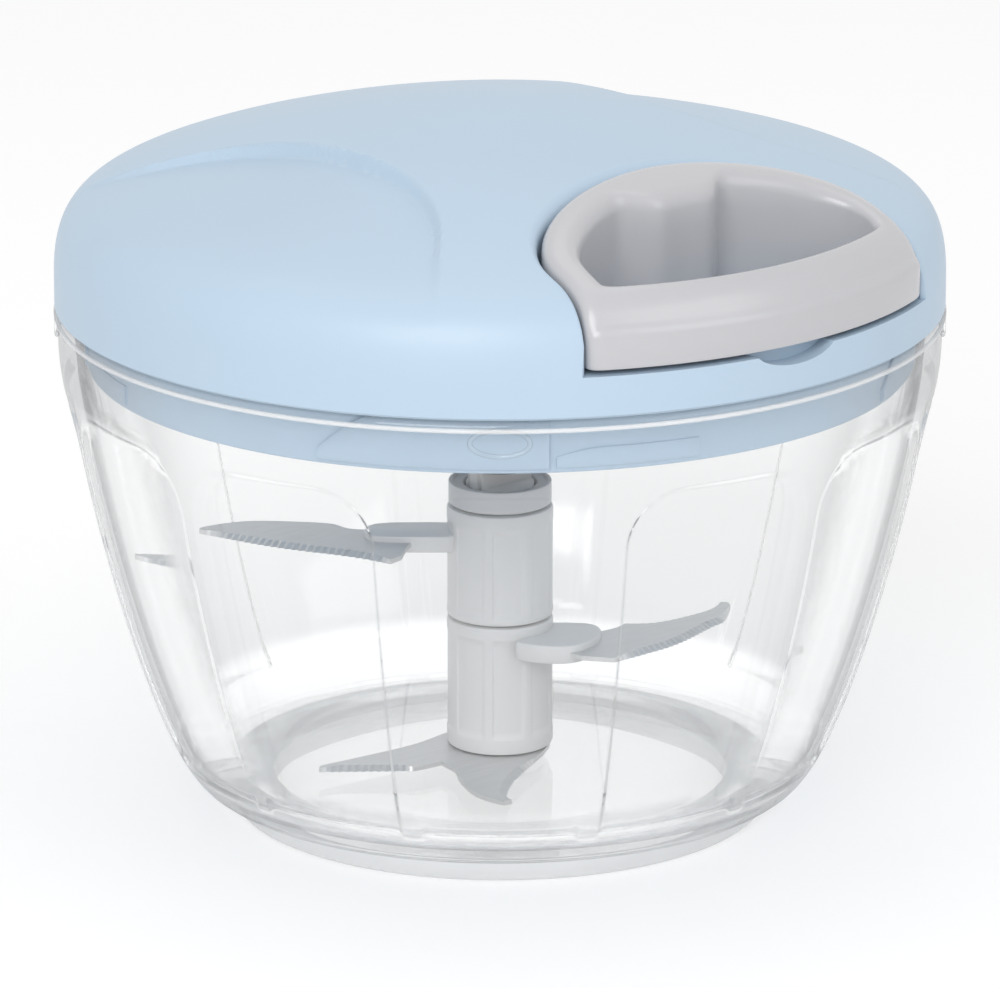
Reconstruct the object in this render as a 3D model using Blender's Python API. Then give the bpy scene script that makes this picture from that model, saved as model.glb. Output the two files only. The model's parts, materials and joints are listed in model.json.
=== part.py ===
"""Pull-string food chopper: fluted clear bowl, domed lid with a pull handle, and a triple blade.

The frame has its origin at the centre of the foot's resting face. +Z is up, and the
handle is pulled towards -Y. Sizes are in millimetres and degrees, and the helpers at
the end of this first part turn them into metres.
"""

import math

import bmesh
import bpy
from mathutils import Vector

MM = 0.001

# Clearances between pieces
SEAT_GAP = 0.3
BLADE_GAP = 0.15
TURN_GAP = 0.3

# Bowl
BOWL_RIM_R = 65.18
BOWL_RIM_Z = 76.0
BOWL_BASE_R = 43.95
BOWL_BASE_Z = 4.2
BOWL_WALL = 2.4
BOWL_RIM_WALL = 3.0
BOWL_FLOOR = 1.8
BOWL_FLOOR_FILLET = 7.0
FLUTES = 12
FLUTE_TURN = 5.0
FLUTE_DEPTH = 0.9
RIDGE_HALF_WIDTH = 1.3
RIDGE_STEP = 1.0
ARCH_BELOW_RIM = 11.0
ARCH_CORNER_R = 9.0
FLUTE_FOOT_Z = 9.5

# Foot ring
FOOT_OUTER_R = 40.2
FOOT_WIDTH = 6.5
FOOT_INNER_R = FOOT_OUTER_R - FOOT_WIDTH

# Bayonet
LUGS = 4
LUG_TURN = -130.0
LUG_HALF_LENGTH = 4.2
LUG_HALF_HEIGHT = 1.9
LUG_BELOW_RIM = 3.0
LUG_DEPTH = 1.2
SKIRT_GAP = 1.95
SKIRT_WALL = 2.0
SKIRT_DEPTH = 8.7
PAD_HEIGHT = 0.35
SHELF_HEIGHT = 1.15
SHELF_START = 6.5
SHELF_SPAN = 21.0
PAD_START = -25.0

# Lid
LID_STEP = 0.18
LID_R = BOWL_RIM_R - LID_STEP
LID_SPREAD = LID_R / 65.0
LID_HEIGHT = 29.2
LID_WALL = 3.0
LID_EDGE_WALL = 1.6
CORNER_R_IN = 12.9
CORNER_DROP = 9.6
FLANGE_THICK = 1.3
SEAL_THICK = 1.3
SEAL_WIDTH = 1.7
PLATE_THICK = 2.0
PLATE_ABOVE_SKIRT = 1.7
LID_SCREW_INSET = 17.0
LID_SCREW_CIRCLE_R = LID_R - LID_SCREW_INSET
LID_SCREW_TURN = 30.0
LID_SCREW_R = 1.6
LID_BOSS_R = 4.2

# Handle recess in the lid
LEDGE_Z = 82.3
LEDGE_THICK = 2.0
RECESS_BACK_R = 27.0
NOTCH_HALF_WIDTH = 7.5
NOTCH_DEPTH = 1.9
SCOOP_BACK_R = 26.4
SCOOP_DEPTH = 1.5

# Handle
HANDLE_BEHIND = 4.0
HANDLE_BACK_U = RECESS_BACK_R + HANDLE_BEHIND
HANDLE_HALF_SPAN = 29.2
HANDLE_WALL = 5.2
HANDLE_FRONT_WALL = 5.9
HANDLE_GAP = 0.7
HANDLE_ROUND = 1.3
HANDLE_PROUD = 1.3
HANDLE_SIDE_GAP = 0.7
CORD_BOSS_HALF = 7.0
CORD_BOSS_REACH = 3.6
CORD_BOSS_DROP = 1.2

# Cord and reel
CORD_R = 0.9
CORD_Z = 88.5
EYELET_R = 2.6
STOPPER_R = 2.4
DRUM_R = 14.0
REEL_FLANGE_R = 22.6
REEL_FLANGE_THICK = 1.3
REEL_GROOVE = 8.0
WINDING_TURNS = 2.4
SPRING_CUP_R = 19.5
SPRING_CUP_HEIGHT = 4.6
SPRING_CUP_WALL = 1.4
SPRING_TURNS = 5
SPRING_THICK = 0.5
POST_R = 3.0
POST_BOSS_DEPTH = 2.2

# Ratchet and drive
TEETH = 12
TOOTH_TIP_R = 17.5
TOOTH_ROOT_R = 19.7
CUP_WALL = 1.6
CUP_FLOOR = 1.5
CUP_HEIGHT = 6.4
PAWL_PIVOT_R = 13.5
PAWL_PIN_R = 1.4
PAWL_THICK = 3.0
DRIVER_R = 7.6
DRIVER_Z = 51.4
SOCKET_R = 5.7
SOCKET_DEPTH = 6.7
BUSH_WALL = 1.8
BUSH_FLANGE = 2.4

# Blade column
PIN_R = 2.0
PIN_TOP_Z = 32.0
CORE_R = 5.0
COLLAR_R = 6.4
SLEEVE_R = 7.85
CAP_R = 7.6
SLEEVE_FACETS = 12
LOWER_SLEEVE_TOP_Z = 28.0
UPPER_SLEEVE_TOP_Z = 45.1
CAP_TOP_Z = 48.8
BLADE_THICK = 0.7
MIDDLE_BLADE_Z = 25.0
UPPER_BLADE_Z = 40.0
ARM_HALF_HEIGHT = 1.25
SERRATION_PITCH = 1.7
SERRATION_DEPTH = 0.45

# Turning resolution
ROUND = 48
SMALL_ROUND = 24


for old in list(bpy.data.objects):
    bpy.data.objects.remove(old, do_unlink=True)


def material(name, colour, roughness, metallic=0.0, alpha=1.0):
    """A Principled material of one plain colour."""
    made = bpy.data.materials.new(name)
    made.use_nodes = True
    shader = made.node_tree.nodes["Principled BSDF"]
    shader.inputs["Base Color"].default_value = (*colour, 1.0)
    shader.inputs["Roughness"].default_value = roughness
    shader.inputs["Metallic"].default_value = metallic
    shader.inputs["Alpha"].default_value = alpha
    return made


def turn_point(radius, degrees, z):
    """A point in millimetres at a radius, an angle from +X and a height."""
    angle = math.radians(degrees)
    return Vector((radius * math.cos(angle), radius * math.sin(angle), z))


def bezier(p0, p1, p2, p3, count):
    """Points along one cubic curve, ends included."""
    points = []
    for step in range(count + 1):
        t = step / count
        a = (1 - t) ** 3
        b = 3 * t * (1 - t) ** 2
        c = 3 * t * t * (1 - t)
        d = t ** 3
        points.append(tuple(a * w + b * x + c * y + d * z
                            for w, x, y, z in zip(p0, p1, p2, p3)))
    return points


def at_x(points, x):
    """The second value of a polyline where its first value is x."""
    ordered = sorted(points)
    for low, high in zip(ordered, ordered[1:]):
        if low[0] <= x <= high[0]:
            share = (x - low[0]) / max(high[0] - low[0], 1e-9)
            return low[1] + share * (high[1] - low[1])
    return ordered[0][1] if x < ordered[0][0] else ordered[-1][1]


def finish(name, bm, surface, sharp=35.0, helper=False, parent=None):
    """Makes an object of a bmesh whose points are in millimetres."""
    bmesh.ops.remove_doubles(bm, verts=bm.verts, dist=0.0005)
    bmesh.ops.recalc_face_normals(bm, faces=bm.faces)
    bmesh.ops.scale(bm, vec=(MM, MM, MM), verts=bm.verts)
    mesh = bpy.data.meshes.new(name)
    bm.to_mesh(mesh)
    bm.free()
    mesh.shade_smooth()
    mesh.set_sharp_from_angle(angle=math.radians(sharp))
    made = bpy.data.objects.new(name, mesh)
    bpy.context.scene.collection.objects.link(made)
    if surface is not None:
        mesh.materials.append(surface)
    if helper:
        made.hide_render = True
        made.display_type = "WIRE"
    if parent is not None:
        made.parent = parent
        made.matrix_parent_inverse = parent.matrix_world.inverted()
    return made


def turned(name, profile, surface=None, steps=SMALL_ROUND, closed=True, centre=(0, 0),
           helper=False, parent=None):
    """Spins a profile of (radius, height) points about an upright axis at the centre."""
    bm = bmesh.new()
    points = [bm.verts.new((radius, 0, z)) for radius, z in profile]
    edges = [bm.edges.new(pair) for pair in zip(points, points[1:])]
    if closed:
        edges.append(bm.edges.new((points[-1], points[0])))
    bmesh.ops.spin(bm, geom=points + edges, axis=(0, 0, 1), cent=(0, 0, 0),
                   angle=math.tau, steps=steps, use_merge=True)
    bmesh.ops.translate(bm, vec=(centre[0], centre[1], 0), verts=bm.verts)
    return finish(name, bm, surface, helper=helper, parent=parent)


def plate(name, outline, low, high, surface=None, helper=False, parent=None):
    """Extrudes a flat outline of (x, y) points from one height to another."""
    bm = bmesh.new()
    face = bm.faces.new([bm.verts.new((x, y, low)) for x, y in outline])
    raised = bmesh.ops.extrude_face_region(bm, geom=[face])
    top = [item for item in raised["geom"] if isinstance(item, bmesh.types.BMVert)]
    bmesh.ops.translate(bm, vec=(0, 0, high - low), verts=top)
    return finish(name, bm, surface, helper=helper, parent=parent)


def rod(name, radius, low, high, centre=(0, 0), steps=SMALL_ROUND, helper=True):
    """A plain upright cylinder, most often a cutter."""
    profile = [(0, high), (radius, high), (radius, low), (0, low)]
    return turned(name, profile, steps=steps, closed=False, centre=centre, helper=helper)


def combine(target, other, operation, label):
    """Adds a Boolean with a helper object."""
    change = target.modifiers.new(label, "BOOLEAN")
    change.operation = operation
    change.solver = "EXACT"
    change.object = other
    return target


def cut(target, other, label="cut"):
    return combine(target, other, "DIFFERENCE", label)


def add(target, other, label="add"):
    return combine(target, other, "UNION", label)


def loft(name, rings, surface=None, helper=False, parent=None, ends=True, around=False):
    """Joins closed rings of points by quads, with end caps or going round in a circle."""
    bm = bmesh.new()
    rows = [[bm.verts.new(point) for point in ring] for ring in rings]
    pairs = list(zip(rows, rows[1:]))
    if around:
        pairs.append((rows[-1], rows[0]))
    for lower, upper in pairs:
        count = len(lower)
        for index in range(count):
            after = (index + 1) % count
            bm.faces.new((lower[index], lower[after], upper[after], upper[index]))
    if ends and not around:
        bm.faces.new(list(reversed(rows[0])))
        bm.faces.new(rows[-1])
    return finish(name, bm, surface, helper=helper, parent=parent)


CLEAR = material("bowl_clear", (0.86, 0.88, 0.89), 0.05, alpha=0.3)
FOOT_WHITE = material("foot_translucent_white", (0.80, 0.81, 0.82), 0.45)
LID_BLUE = material("lid_light_blue", (0.58, 0.71, 0.84), 0.35)
HANDLE_GRAY = material("handle_gray", (0.57, 0.57, 0.60), 0.35)
COLUMN_GRAY = material("column_light_gray", (0.61, 0.61, 0.61), 0.4)
CAP_GRAY = material("cap_gray", (0.40, 0.40, 0.42), 0.4)
STEEL = material("blade_steel", (0.46, 0.46, 0.46), 0.3, 1.0)
PIN_STEEL = material("pin_steel", (0.5, 0.5, 0.52), 0.25, 1.0)
DRIVER_DARK = material("driver_dark", (0.08, 0.08, 0.09), 0.45)
REEL_WHITE = material("reel_white", (0.75, 0.75, 0.75), 0.45)
CORD_WHITE = material("cord_white", (0.72, 0.72, 0.72), 0.8)
SEAL_SOFT = material("seal_silicone", (0.75, 0.77, 0.79), 0.55)
PAWL_DARK = material("pawl_black", (0.05, 0.05, 0.05), 0.4)


# Bowl

def bowl_outline():
    """(height, radius) points down the outer side of the bowl, without its flutes."""
    rim = (BOWL_RIM_R, BOWL_RIM_Z)
    base = (BOWL_BASE_R, BOWL_BASE_Z)
    curve = bezier(rim, (rim[0] - 1.32, rim[1] - 22.58),
                   (base[0] + 7.23, base[1] + 2.94), base, 60)
    return [(z, radius) for radius, z in curve]


OUTLINE = bowl_outline()


def bowl_radius(z):
    return at_x(OUTLINE, z)


def inner_radius(z):
    """The bowl's inner radius, with a wall that thickens towards the rim."""
    share = min(max((z - (BOWL_RIM_Z - 10)) / 10, 0), 1)
    wall = BOWL_WALL + share * (BOWL_RIM_WALL - BOWL_WALL)
    return bowl_radius(z) - wall


FLOOR_Z = BOWL_BASE_Z + BOWL_FLOOR
RIM_INNER_R = BOWL_RIM_R - BOWL_RIM_WALL
PANEL = 360.0 / FLUTES


def arch_drop(from_centre, half_panel):
    """How far the rounded top corner of a flute lies below the middle of its arch."""
    edge = max(half_panel - abs(from_centre), 0) * math.radians(1) * BOWL_RIM_R
    if edge >= ARCH_CORNER_R:
        return 0
    return ARCH_CORNER_R - math.sqrt(ARCH_CORNER_R ** 2 - (ARCH_CORNER_R - edge) ** 2)


def make_bowl():
    degree = math.degrees(1 / BOWL_RIM_R)
    ridge = PANEL / 2 - RIDGE_HALF_WIDTH * degree * 1.1
    flat = ridge - RIDGE_STEP * degree
    offsets = [-ridge, -flat, -0.8 * flat, 0, 0.8 * flat, flat, ridge]
    mid_rows = 4
    columns = []
    for panel in range(FLUTES):
        for offset in offsets:
            phi = FLUTE_TURN + PANEL * (panel + 0.5) + offset
            deep = FLUTE_DEPTH if abs(offset) <= flat + 1e-6 else 0
            arch = BOWL_RIM_Z - ARCH_BELOW_RIM - arch_drop(offset, flat)
            foot = FLUTE_FOOT_Z + 0.35 * arch_drop(offset, flat)
            heights = [(BOWL_RIM_Z - 0.5, 0), (BOWL_RIM_Z - 5.0, 0), (arch + 0.5, 0)]
            for row in range(mid_rows + 1):
                z = arch - 0.5 + (foot + 0.5 - (arch - 0.5)) * row / mid_rows
                heights.append((z, deep))
            heights.append((foot - 0.5, 0))
            heights.append((BOWL_BASE_Z + 1.0, 0))
            column = [turn_point(RIM_INNER_R + 0.5, phi, BOWL_RIM_Z),
                      turn_point(BOWL_RIM_R - 0.6, phi, BOWL_RIM_Z)]
            for z, depth in heights:
                column.append(turn_point(bowl_radius(z) - depth, phi, z))
            column.append(turn_point(BOWL_BASE_R - 1.6, phi, BOWL_BASE_Z))
            column.append(turn_point(FOOT_INNER_R - 3.0, phi, BOWL_BASE_Z))
            inner = [(FOOT_INNER_R - 3.0, FLOOR_Z)]
            corner = FLOOR_Z + BOWL_FLOOR_FILLET
            corner_r = inner_radius(corner)
            for step in range(4):
                angle = math.radians(90 * step / 3)
                share_r = math.sin(angle)
                share_z = 1 - math.cos(angle)
                inner.append((corner_r - 9.5 * (1 - share_r),
                              FLOOR_Z + BOWL_FLOOR_FILLET * share_z))
            for z in (24.0, 42.0):
                inner.append((inner_radius(z), z))
            inner.append((inner_radius(BOWL_RIM_Z - 10), BOWL_RIM_Z - 10))
            inner.append((RIM_INNER_R, BOWL_RIM_Z - 0.5))
            for radius, z in inner:
                column.append(turn_point(radius, phi, z))
            columns.append(column)
    bm = bmesh.new()
    grid = [[bm.verts.new(point) for point in column] for column in columns]
    count = len(grid)
    depth = len(grid[0])
    underside = 0
    for row in range(depth):
        if abs(grid[0][row].co.z - BOWL_BASE_Z) < 1e-6 and row > 3:
            underside = row
    for index in range(count):
        here = grid[index]
        after = grid[(index + 1) % count]
        for row in range(depth):
            below = (row + 1) % depth
            if row == underside:
                continue
            bm.faces.new((here[row], after[row], after[below], here[below]))
    bm.faces.new([column[underside] for column in grid])
    bm.faces.new([column[underside + 1] for column in reversed(grid)])
    return finish("bowl", bm, CLEAR, sharp=30.0)


bowl = make_bowl()

lug_z = BOWL_RIM_Z - LUG_BELOW_RIM
lug_wall = inner_radius(lug_z)
lug_inner_r = lug_wall - LUG_DEPTH
for number in range(LUGS):
    turn = LUG_TURN + 360 / LUGS * number
    rings = []
    for radius, share in ((lug_inner_r, 0.75), (lug_inner_r + 0.6, 1.0),
                          (lug_wall + 1.0, 1.0)):
        ring = []
        for step in range(16):
            angle = math.tau * step / 16
            swing = math.degrees(LUG_HALF_LENGTH * share * math.cos(angle) / lug_wall)
            height = lug_z + LUG_HALF_HEIGHT * share * math.sin(angle)
            ring.append(turn_point(radius, turn + swing, height))
        rings.append(ring)
    lug = loft("bowl_lug_helper_%d" % number, rings, helper=True)
    add(bowl, lug, "lug")

foot = turned("foot_ring", [
    (FOOT_INNER_R, BOWL_BASE_Z - SEAT_GAP),
    (FOOT_OUTER_R, BOWL_BASE_Z - SEAT_GAP),
    (FOOT_OUTER_R - 0.2, 1.0),
    (FOOT_OUTER_R - 0.9, 0.0),
    (FOOT_INNER_R + 0.8, 0.0),
    (FOOT_INNER_R, 0.8),
], FOOT_WHITE, steps=ROUND)


# Lid cover

LID_Z = BOWL_RIM_Z + SEAT_GAP
DOME_Z = LID_Z + LID_HEIGHT


def lid_outline():
    """(radius, height) points from the dome's top down its outer side."""
    slope = -0.346
    length = math.hypot(1, slope)
    along = (1 / length, slope / length)
    corner = (LID_R - CORNER_R_IN, DOME_Z - CORNER_DROP)
    dome = bezier((0, DOME_Z), (corner[0] * 0.34, DOME_Z),
                  (corner[0] - 8.5 * along[0], corner[1] - 8.5 * along[1]), corner, 6)
    side = bezier(corner, (corner[0] + 9.185 * along[0], corner[1] + 9.185 * along[1]),
                  (LID_R, DOME_Z - 14.2), (LID_R, DOME_Z - 24.5), 6)
    return dome + side[1:]


LID_OUTLINE = lid_outline()


def dome_height(radius):
    return at_x(LID_OUTLINE[:-1], radius)


def offset_outline(points, distance):
    """The same open outline, moved to its right-hand side."""
    moved = []
    for index, point in enumerate(points):
        before = points[max(index - 1, 0)]
        after = points[min(index + 1, len(points) - 1)]
        along = (after[0] - before[0], after[1] - before[1])
        length = math.hypot(*along)
        normal = (along[1] / length, -along[0] / length)
        moved.append((max(point[0] + normal[0] * distance, 0),
                      point[1] + normal[1] * distance))
    moved[0] = (0, points[0][1] - distance)
    return moved


def pull_point(u, v):
    """The plan point u out towards the handle's pull, and v sideways."""
    return (v, -u)


def mirrored_fan(half, centre):
    """A closed plan outline from (out, side) points of one half, about a direction."""
    full = half + [(u, -v) for u, v in reversed(half[1:])]
    angle = math.radians(centre)
    outward = (math.cos(angle), math.sin(angle))
    return [(u * outward[0] - v * outward[1], u * outward[1] + v * outward[0])
            for u, v in full]


def handle_recess(reach, grow=0.0):
    """The recess round the handle: wide behind it and close beside it."""
    k = LID_SPREAD
    back = RECESS_BACK_R - grow
    half = bezier((back, 0), (back, 14.5 * k), (35.5 * k - grow, 29.6 * k + grow),
                  (46.5 * k, 30.1 * k + grow), 6)
    half.append((52.3 * k, 30.3 * k + grow))
    mouth = math.radians(HANDLE_HALF_SPAN + HANDLE_SIDE_GAP)
    for radius in (LID_R, reach):
        half.append((radius * math.cos(mouth) - 0.5 * grow,
                     radius * math.sin(mouth) + grow))
    half.append((reach, half[-1][1]))
    return mirrored_fan(half, -90)


def scoop_outline(back_r, centre, reach, grow=0.0):
    """A rounded fan: round near the axis, then widening out past the lid's edge."""
    half = [(back_r - grow, 0)]
    for u, v, u_grow, v_grow in ((back_r + 0.6, 8, 1, 0), (back_r + 2.6, 15, 1, 0),
                                 (back_r + 5.6, 22, 1, 0.5)):
        half.append((u - u_grow * grow, v * LID_SPREAD + v_grow * grow))
    for u, v, u_grow, v_grow in ((38.0, 31, 0.4, 0.8), (44.0, 39.5, 0.2, 1), (48.5, 45, 0, 1)):
        half.append((u * LID_SPREAD - u_grow * grow, v * LID_SPREAD + v_grow * grow))
    far = half[-1]
    half.append((reach, far[1] + (reach - far[0]) * 1.1))
    return mirrored_fan(half, centre)


def make_cover():
    rise = [(LID_R, LID_Z)]
    outer = LID_OUTLINE + rise + [(0, LID_Z)]
    cover = turned("lid_cover", outer, LID_BLUE, steps=ROUND, closed=False)
    seat_z = LID_Z + SEAL_THICK + 2 * SEAT_GAP + FLANGE_THICK
    hollow = offset_outline(LID_OUTLINE, LID_WALL)
    inner_r = LID_R - LID_WALL - 0.2
    hollow = [point for point in hollow if point[1] > seat_z + 6 and point[0] < inner_r]
    hollow += [(inner_r, seat_z + 4), (inner_r, seat_z),
               (LID_R - LID_EDGE_WALL, seat_z), (LID_R - LID_EDGE_WALL, LID_Z - 2),
               (0, LID_Z - 2)]
    cavity = turned("lid_cavity_helper", hollow, steps=ROUND, closed=False, helper=True)
    walls = plate("recess_wall_helper",
                  handle_recess(LID_R + 5, grow=LID_WALL * 0.7),
                  LEDGE_Z - LEDGE_THICK, DOME_Z + 5, helper=True)
    cut(cavity, walls, "recess walls")
    boss = rod("post_boss_helper", POST_R + 3.4, DOME_Z - LID_WALL - POST_BOSS_DEPTH,
               DOME_Z - 1)
    cut(cavity, boss, "post boss")
    for number, turn in enumerate(screw_turns()):
        place = turn_point(LID_SCREW_CIRCLE_R, turn, 0)
        pillar = rod("screw_boss_helper_%d" % number, LID_BOSS_R,
                     PLATE_TOP_Z + SEAT_GAP, DOME_Z, centre=place[:2], steps=16)
        cut(cavity, pillar, "screw boss")
    cut(cover, cavity, "cavity")
    recess = plate("recess_helper", handle_recess(LID_R + 7),
                   LEDGE_Z, DOME_Z + 6, helper=True)
    cut(cover, recess, "recess")
    for side, centre in (("left", 180), ("right", 0)):
        block = plate("scoop_helper_" + side, scoop_outline(SCOOP_BACK_R, centre, LID_R + 1),
                      DOME_Z - 25, DOME_Z + 4, helper=True)
        under = []
        for radius, z in LID_OUTLINE:
            share = min(max((radius - SCOOP_BACK_R) / (LID_R - SCOOP_BACK_R), 0), 1)
            under.append((radius, z - SCOOP_DEPTH * (1 - share ** 1.5) + 0.02))
        under = under[:-4]
        edge = (LID_R + 8, under[-1][1] - 4)
        floor = turned("scoop_floor_helper_" + side,
                       under + [edge, (LID_R + 8, DOME_Z - 28), (0, DOME_Z - 28)],
                       steps=ROUND, closed=False, helper=True)
        cut(block, floor, "scoop floor")
        cut(cover, block, "scoop")
    notch = []
    for step in range(13):
        swing = math.pi * step / 12
        notch.append((-NOTCH_HALF_WIDTH * math.cos(swing),
                      LEDGE_Z + 1 - (NOTCH_DEPTH + 1) * math.sin(swing)))
    rings = [[Vector((x, y, z)) for x, z in notch] for y in (-LID_R - 4, -LID_R + 3.2)]
    cut(cover, loft("notch_helper", rings, helper=True), "finger notch")
    post_hole = rod("post_hole_helper", POST_R + 0.05, DOME_Z - LID_WALL - 6,
                    DOME_Z - LID_WALL)
    cut(cover, post_hole, "post hole")
    for number, turn in enumerate(screw_turns()):
        place = turn_point(LID_SCREW_CIRCLE_R, turn, 0)
        pilot = rod("pilot_helper_%d" % number, LID_SCREW_R + SEAT_GAP, PLATE_TOP_Z - 1,
                    PLATE_TOP_Z + 11, centre=place[:2], steps=12)
        cut(cover, pilot, "pilot hole")
    eyelet_hole = cross_rod("eyelet_hole_helper", EYELET_R + SEAT_GAP, -RECESS_BACK_R - 1,
                            -RECESS_BACK_R + 6)
    cut(cover, eyelet_hole, "eyelet hole")
    return cover


def cross_rod(name, radius, y_low, y_high, surface=None, bore=0.0, helper=True, neck=None):
    """A rod or tube along Y at the cord's height, with a thinner neck if one is given."""
    rings = []
    outline = [(radius, y_low), (radius, y_high)]
    if neck:
        outline += [(neck[0], y_high), neck]
    if bore:
        outline += [(bore, y_high), (bore, y_low)]
    for r, y in outline:
        rings.append([Vector((r * math.cos(math.tau * k / 20), y,
                              CORD_Z + r * math.sin(math.tau * k / 20)))
                      for k in range(20)])
    return loft(name, rings, surface, helper=helper, around=bool(bore))


def screw_turns():
    return [LID_SCREW_TURN, 180 - LID_SCREW_TURN, 180 + LID_SCREW_TURN, -LID_SCREW_TURN]


SKIRT_R = RIM_INNER_R - SKIRT_GAP
SKIRT_Z = BOWL_RIM_Z - SKIRT_DEPTH
PLATE_Z = SKIRT_Z + PLATE_ABOVE_SKIRT
PLATE_TOP_Z = PLATE_Z + PLATE_THICK
cover = make_cover()


# Lid base with its bayonet

BUSH_OUTER_R = DRIVER_R + TURN_GAP + BUSH_WALL


def arc_block(name, inner, outer, start, end, low, high, ramp=0.0):
    """A curved block on the skirt, whose first end may rise from a ramp."""
    rings = []
    steps = max(2, int(abs(end - start) / 4))
    for step in range(steps + 1):
        share = step / steps
        turn = start + (end - start) * share
        top = high - ramp * (1 - min(share * 2.5, 1))
        rings.append([turn_point(inner, turn, low), turn_point(outer, turn, low),
                      turn_point(outer, turn, top), turn_point(inner, turn, top)])
    return loft(name, rings, helper=True)


def make_base():
    flange_z = LID_Z + SEAL_THICK + SEAT_GAP
    inner = SKIRT_R - SKIRT_WALL
    flange_r = LID_R - LID_EDGE_WALL - SEAT_GAP
    hole = BUSH_OUTER_R + SEAT_GAP
    base = turned("lid_base", [
        (hole, PLATE_TOP_Z), (inner, PLATE_TOP_Z), (inner, flange_z + FLANGE_THICK),
        (flange_r, flange_z + FLANGE_THICK), (flange_r, flange_z),
        (SKIRT_R, flange_z), (SKIRT_R, SKIRT_Z + 0.6), (SKIRT_R - 0.6, SKIRT_Z),
        (inner, SKIRT_Z), (inner, PLATE_Z), (hole, PLATE_Z),
    ], LID_BLUE, steps=ROUND)
    lug_foot = lug_z - LUG_HALF_HEIGHT
    for number in range(LUGS):
        turn = LUG_TURN + 360 / LUGS * number
        pad = arc_block("pad_helper_%d" % number, SKIRT_R - 0.8, SKIRT_R + PAD_HEIGHT,
                        turn + PAD_START, turn + SHELF_START, SKIRT_Z + 0.9,
                        BOWL_RIM_Z - 0.4, ramp=5.0)
        add(base, pad, "pad").modifiers[-1].solver = "MANIFOLD"
        shelf = arc_block("shelf_helper_%d" % number, SKIRT_R - 0.8,
                          SKIRT_R + SHELF_HEIGHT, turn + SHELF_START + 1.0,
                          turn + SHELF_START + SHELF_SPAN, SKIRT_Z + 0.7,
                          lug_foot - SEAT_GAP, ramp=1.2)
        add(base, shelf, "lock shelf").modifiers[-1].solver = "MANIFOLD"
    for number, angle in enumerate(screw_turns()):
        place = turn_point(LID_SCREW_CIRCLE_R, angle, 0)
        hole_cutter = rod("base_hole_helper_%d" % number, LID_SCREW_R + SEAT_GAP,
                          PLATE_Z - 1, PLATE_TOP_Z + 1, centre=place[:2], steps=12)
        cut(base, hole_cutter, "screw hole")
    return base


base = make_base()

seal_outer = LID_R - LID_EDGE_WALL - SEAT_GAP
seal = turned("seal_ring", [
    (seal_outer - SEAL_WIDTH, BOWL_RIM_Z + SEAT_GAP + SEAL_THICK),
    (seal_outer, BOWL_RIM_Z + SEAT_GAP + SEAL_THICK),
    (seal_outer, BOWL_RIM_Z + SEAT_GAP),
    (seal_outer - SEAL_WIDTH, BOWL_RIM_Z + SEAT_GAP),
], SEAL_SOFT, steps=ROUND)

for number, angle in enumerate(screw_turns()):
    place = turn_point(LID_SCREW_CIRCLE_R, angle, 0)
    head_top = PLATE_Z - SEAT_GAP
    turned("lid_screw_%d" % (number + 1), [
        (0, PLATE_TOP_Z + 9), (LID_SCREW_R * 0.5, PLATE_TOP_Z + 9),
        (LID_SCREW_R, PLATE_TOP_Z + 8), (LID_SCREW_R, head_top),
        (LID_SCREW_R * 2, head_top), (LID_SCREW_R * 2, head_top - 0.7),
        (LID_SCREW_R * 1.5, head_top - 1.4), (0, head_top - 1.4),
    ], PIN_STEEL, steps=16, closed=False, centre=place[:2])

BUSH_TOP_Z = PLATE_TOP_Z + SEAT_GAP + 1.2
turned("spindle_bush", [
    (DRIVER_R + TURN_GAP, BUSH_TOP_Z), (BUSH_OUTER_R + BUSH_FLANGE, BUSH_TOP_Z),
    (BUSH_OUTER_R + BUSH_FLANGE, PLATE_TOP_Z + SEAT_GAP),
    (BUSH_OUTER_R, PLATE_TOP_Z + SEAT_GAP), (BUSH_OUTER_R, PLATE_Z - 1.0),
    (DRIVER_R + TURN_GAP, PLATE_Z - 1.0),
], REEL_WHITE)


# Handle

def handle_paths():
    """Matching outer and inner plan points (u, v) round the handle, half by half."""
    back = HANDLE_BACK_U
    outer_r = LID_R - 0.15
    inner_r = outer_r - HANDLE_FRONT_WALL
    span = math.radians(HANDLE_HALF_SPAN)
    corner = (outer_r * math.cos(span), outer_r * math.sin(span))
    k = LID_SPREAD
    outer = bezier((back, 0), (back, 13.5 * k), (back + 6.3 * k, 28.2 * k),
                   (corner[0] - 10.2 * k, 29.3 * k), 10)
    outer += bezier(outer[-1], (corner[0] - 6.5 * k, 29.8 * k),
                    (corner[0] - 3.6 * k, 29.6 * k), corner, 3)[1:]
    inner_span = span - 0.07
    inner_corner = (inner_r * math.cos(inner_span), inner_r * math.sin(inner_span))
    inner = bezier((back + HANDLE_WALL, 0), (back + HANDLE_WALL, 9.5 * k),
                   (back + 10.0 * k, 21.8 * k), (inner_corner[0] - 5.5 * k, 25.1 * k), 10)
    inner += bezier(inner[-1], (inner_corner[0] - 3.0 * k, 26.0 * k),
                    (inner_corner[0] - 0.7, inner_corner[1] + 0.9), inner_corner, 3)[1:]
    for step in range(1, 8):
        share = 1 - step / 7
        outer.append((outer_r * math.cos(span * share), outer_r * math.sin(span * share)))
        inner.append((inner_r * math.cos(inner_span * share),
                      inner_r * math.sin(inner_span * share)))
    outer += [(u, -v) for u, v in reversed(outer[1:-1])]
    inner += [(u, -v) for u, v in reversed(inner[1:-1])]
    return outer, inner


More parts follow.
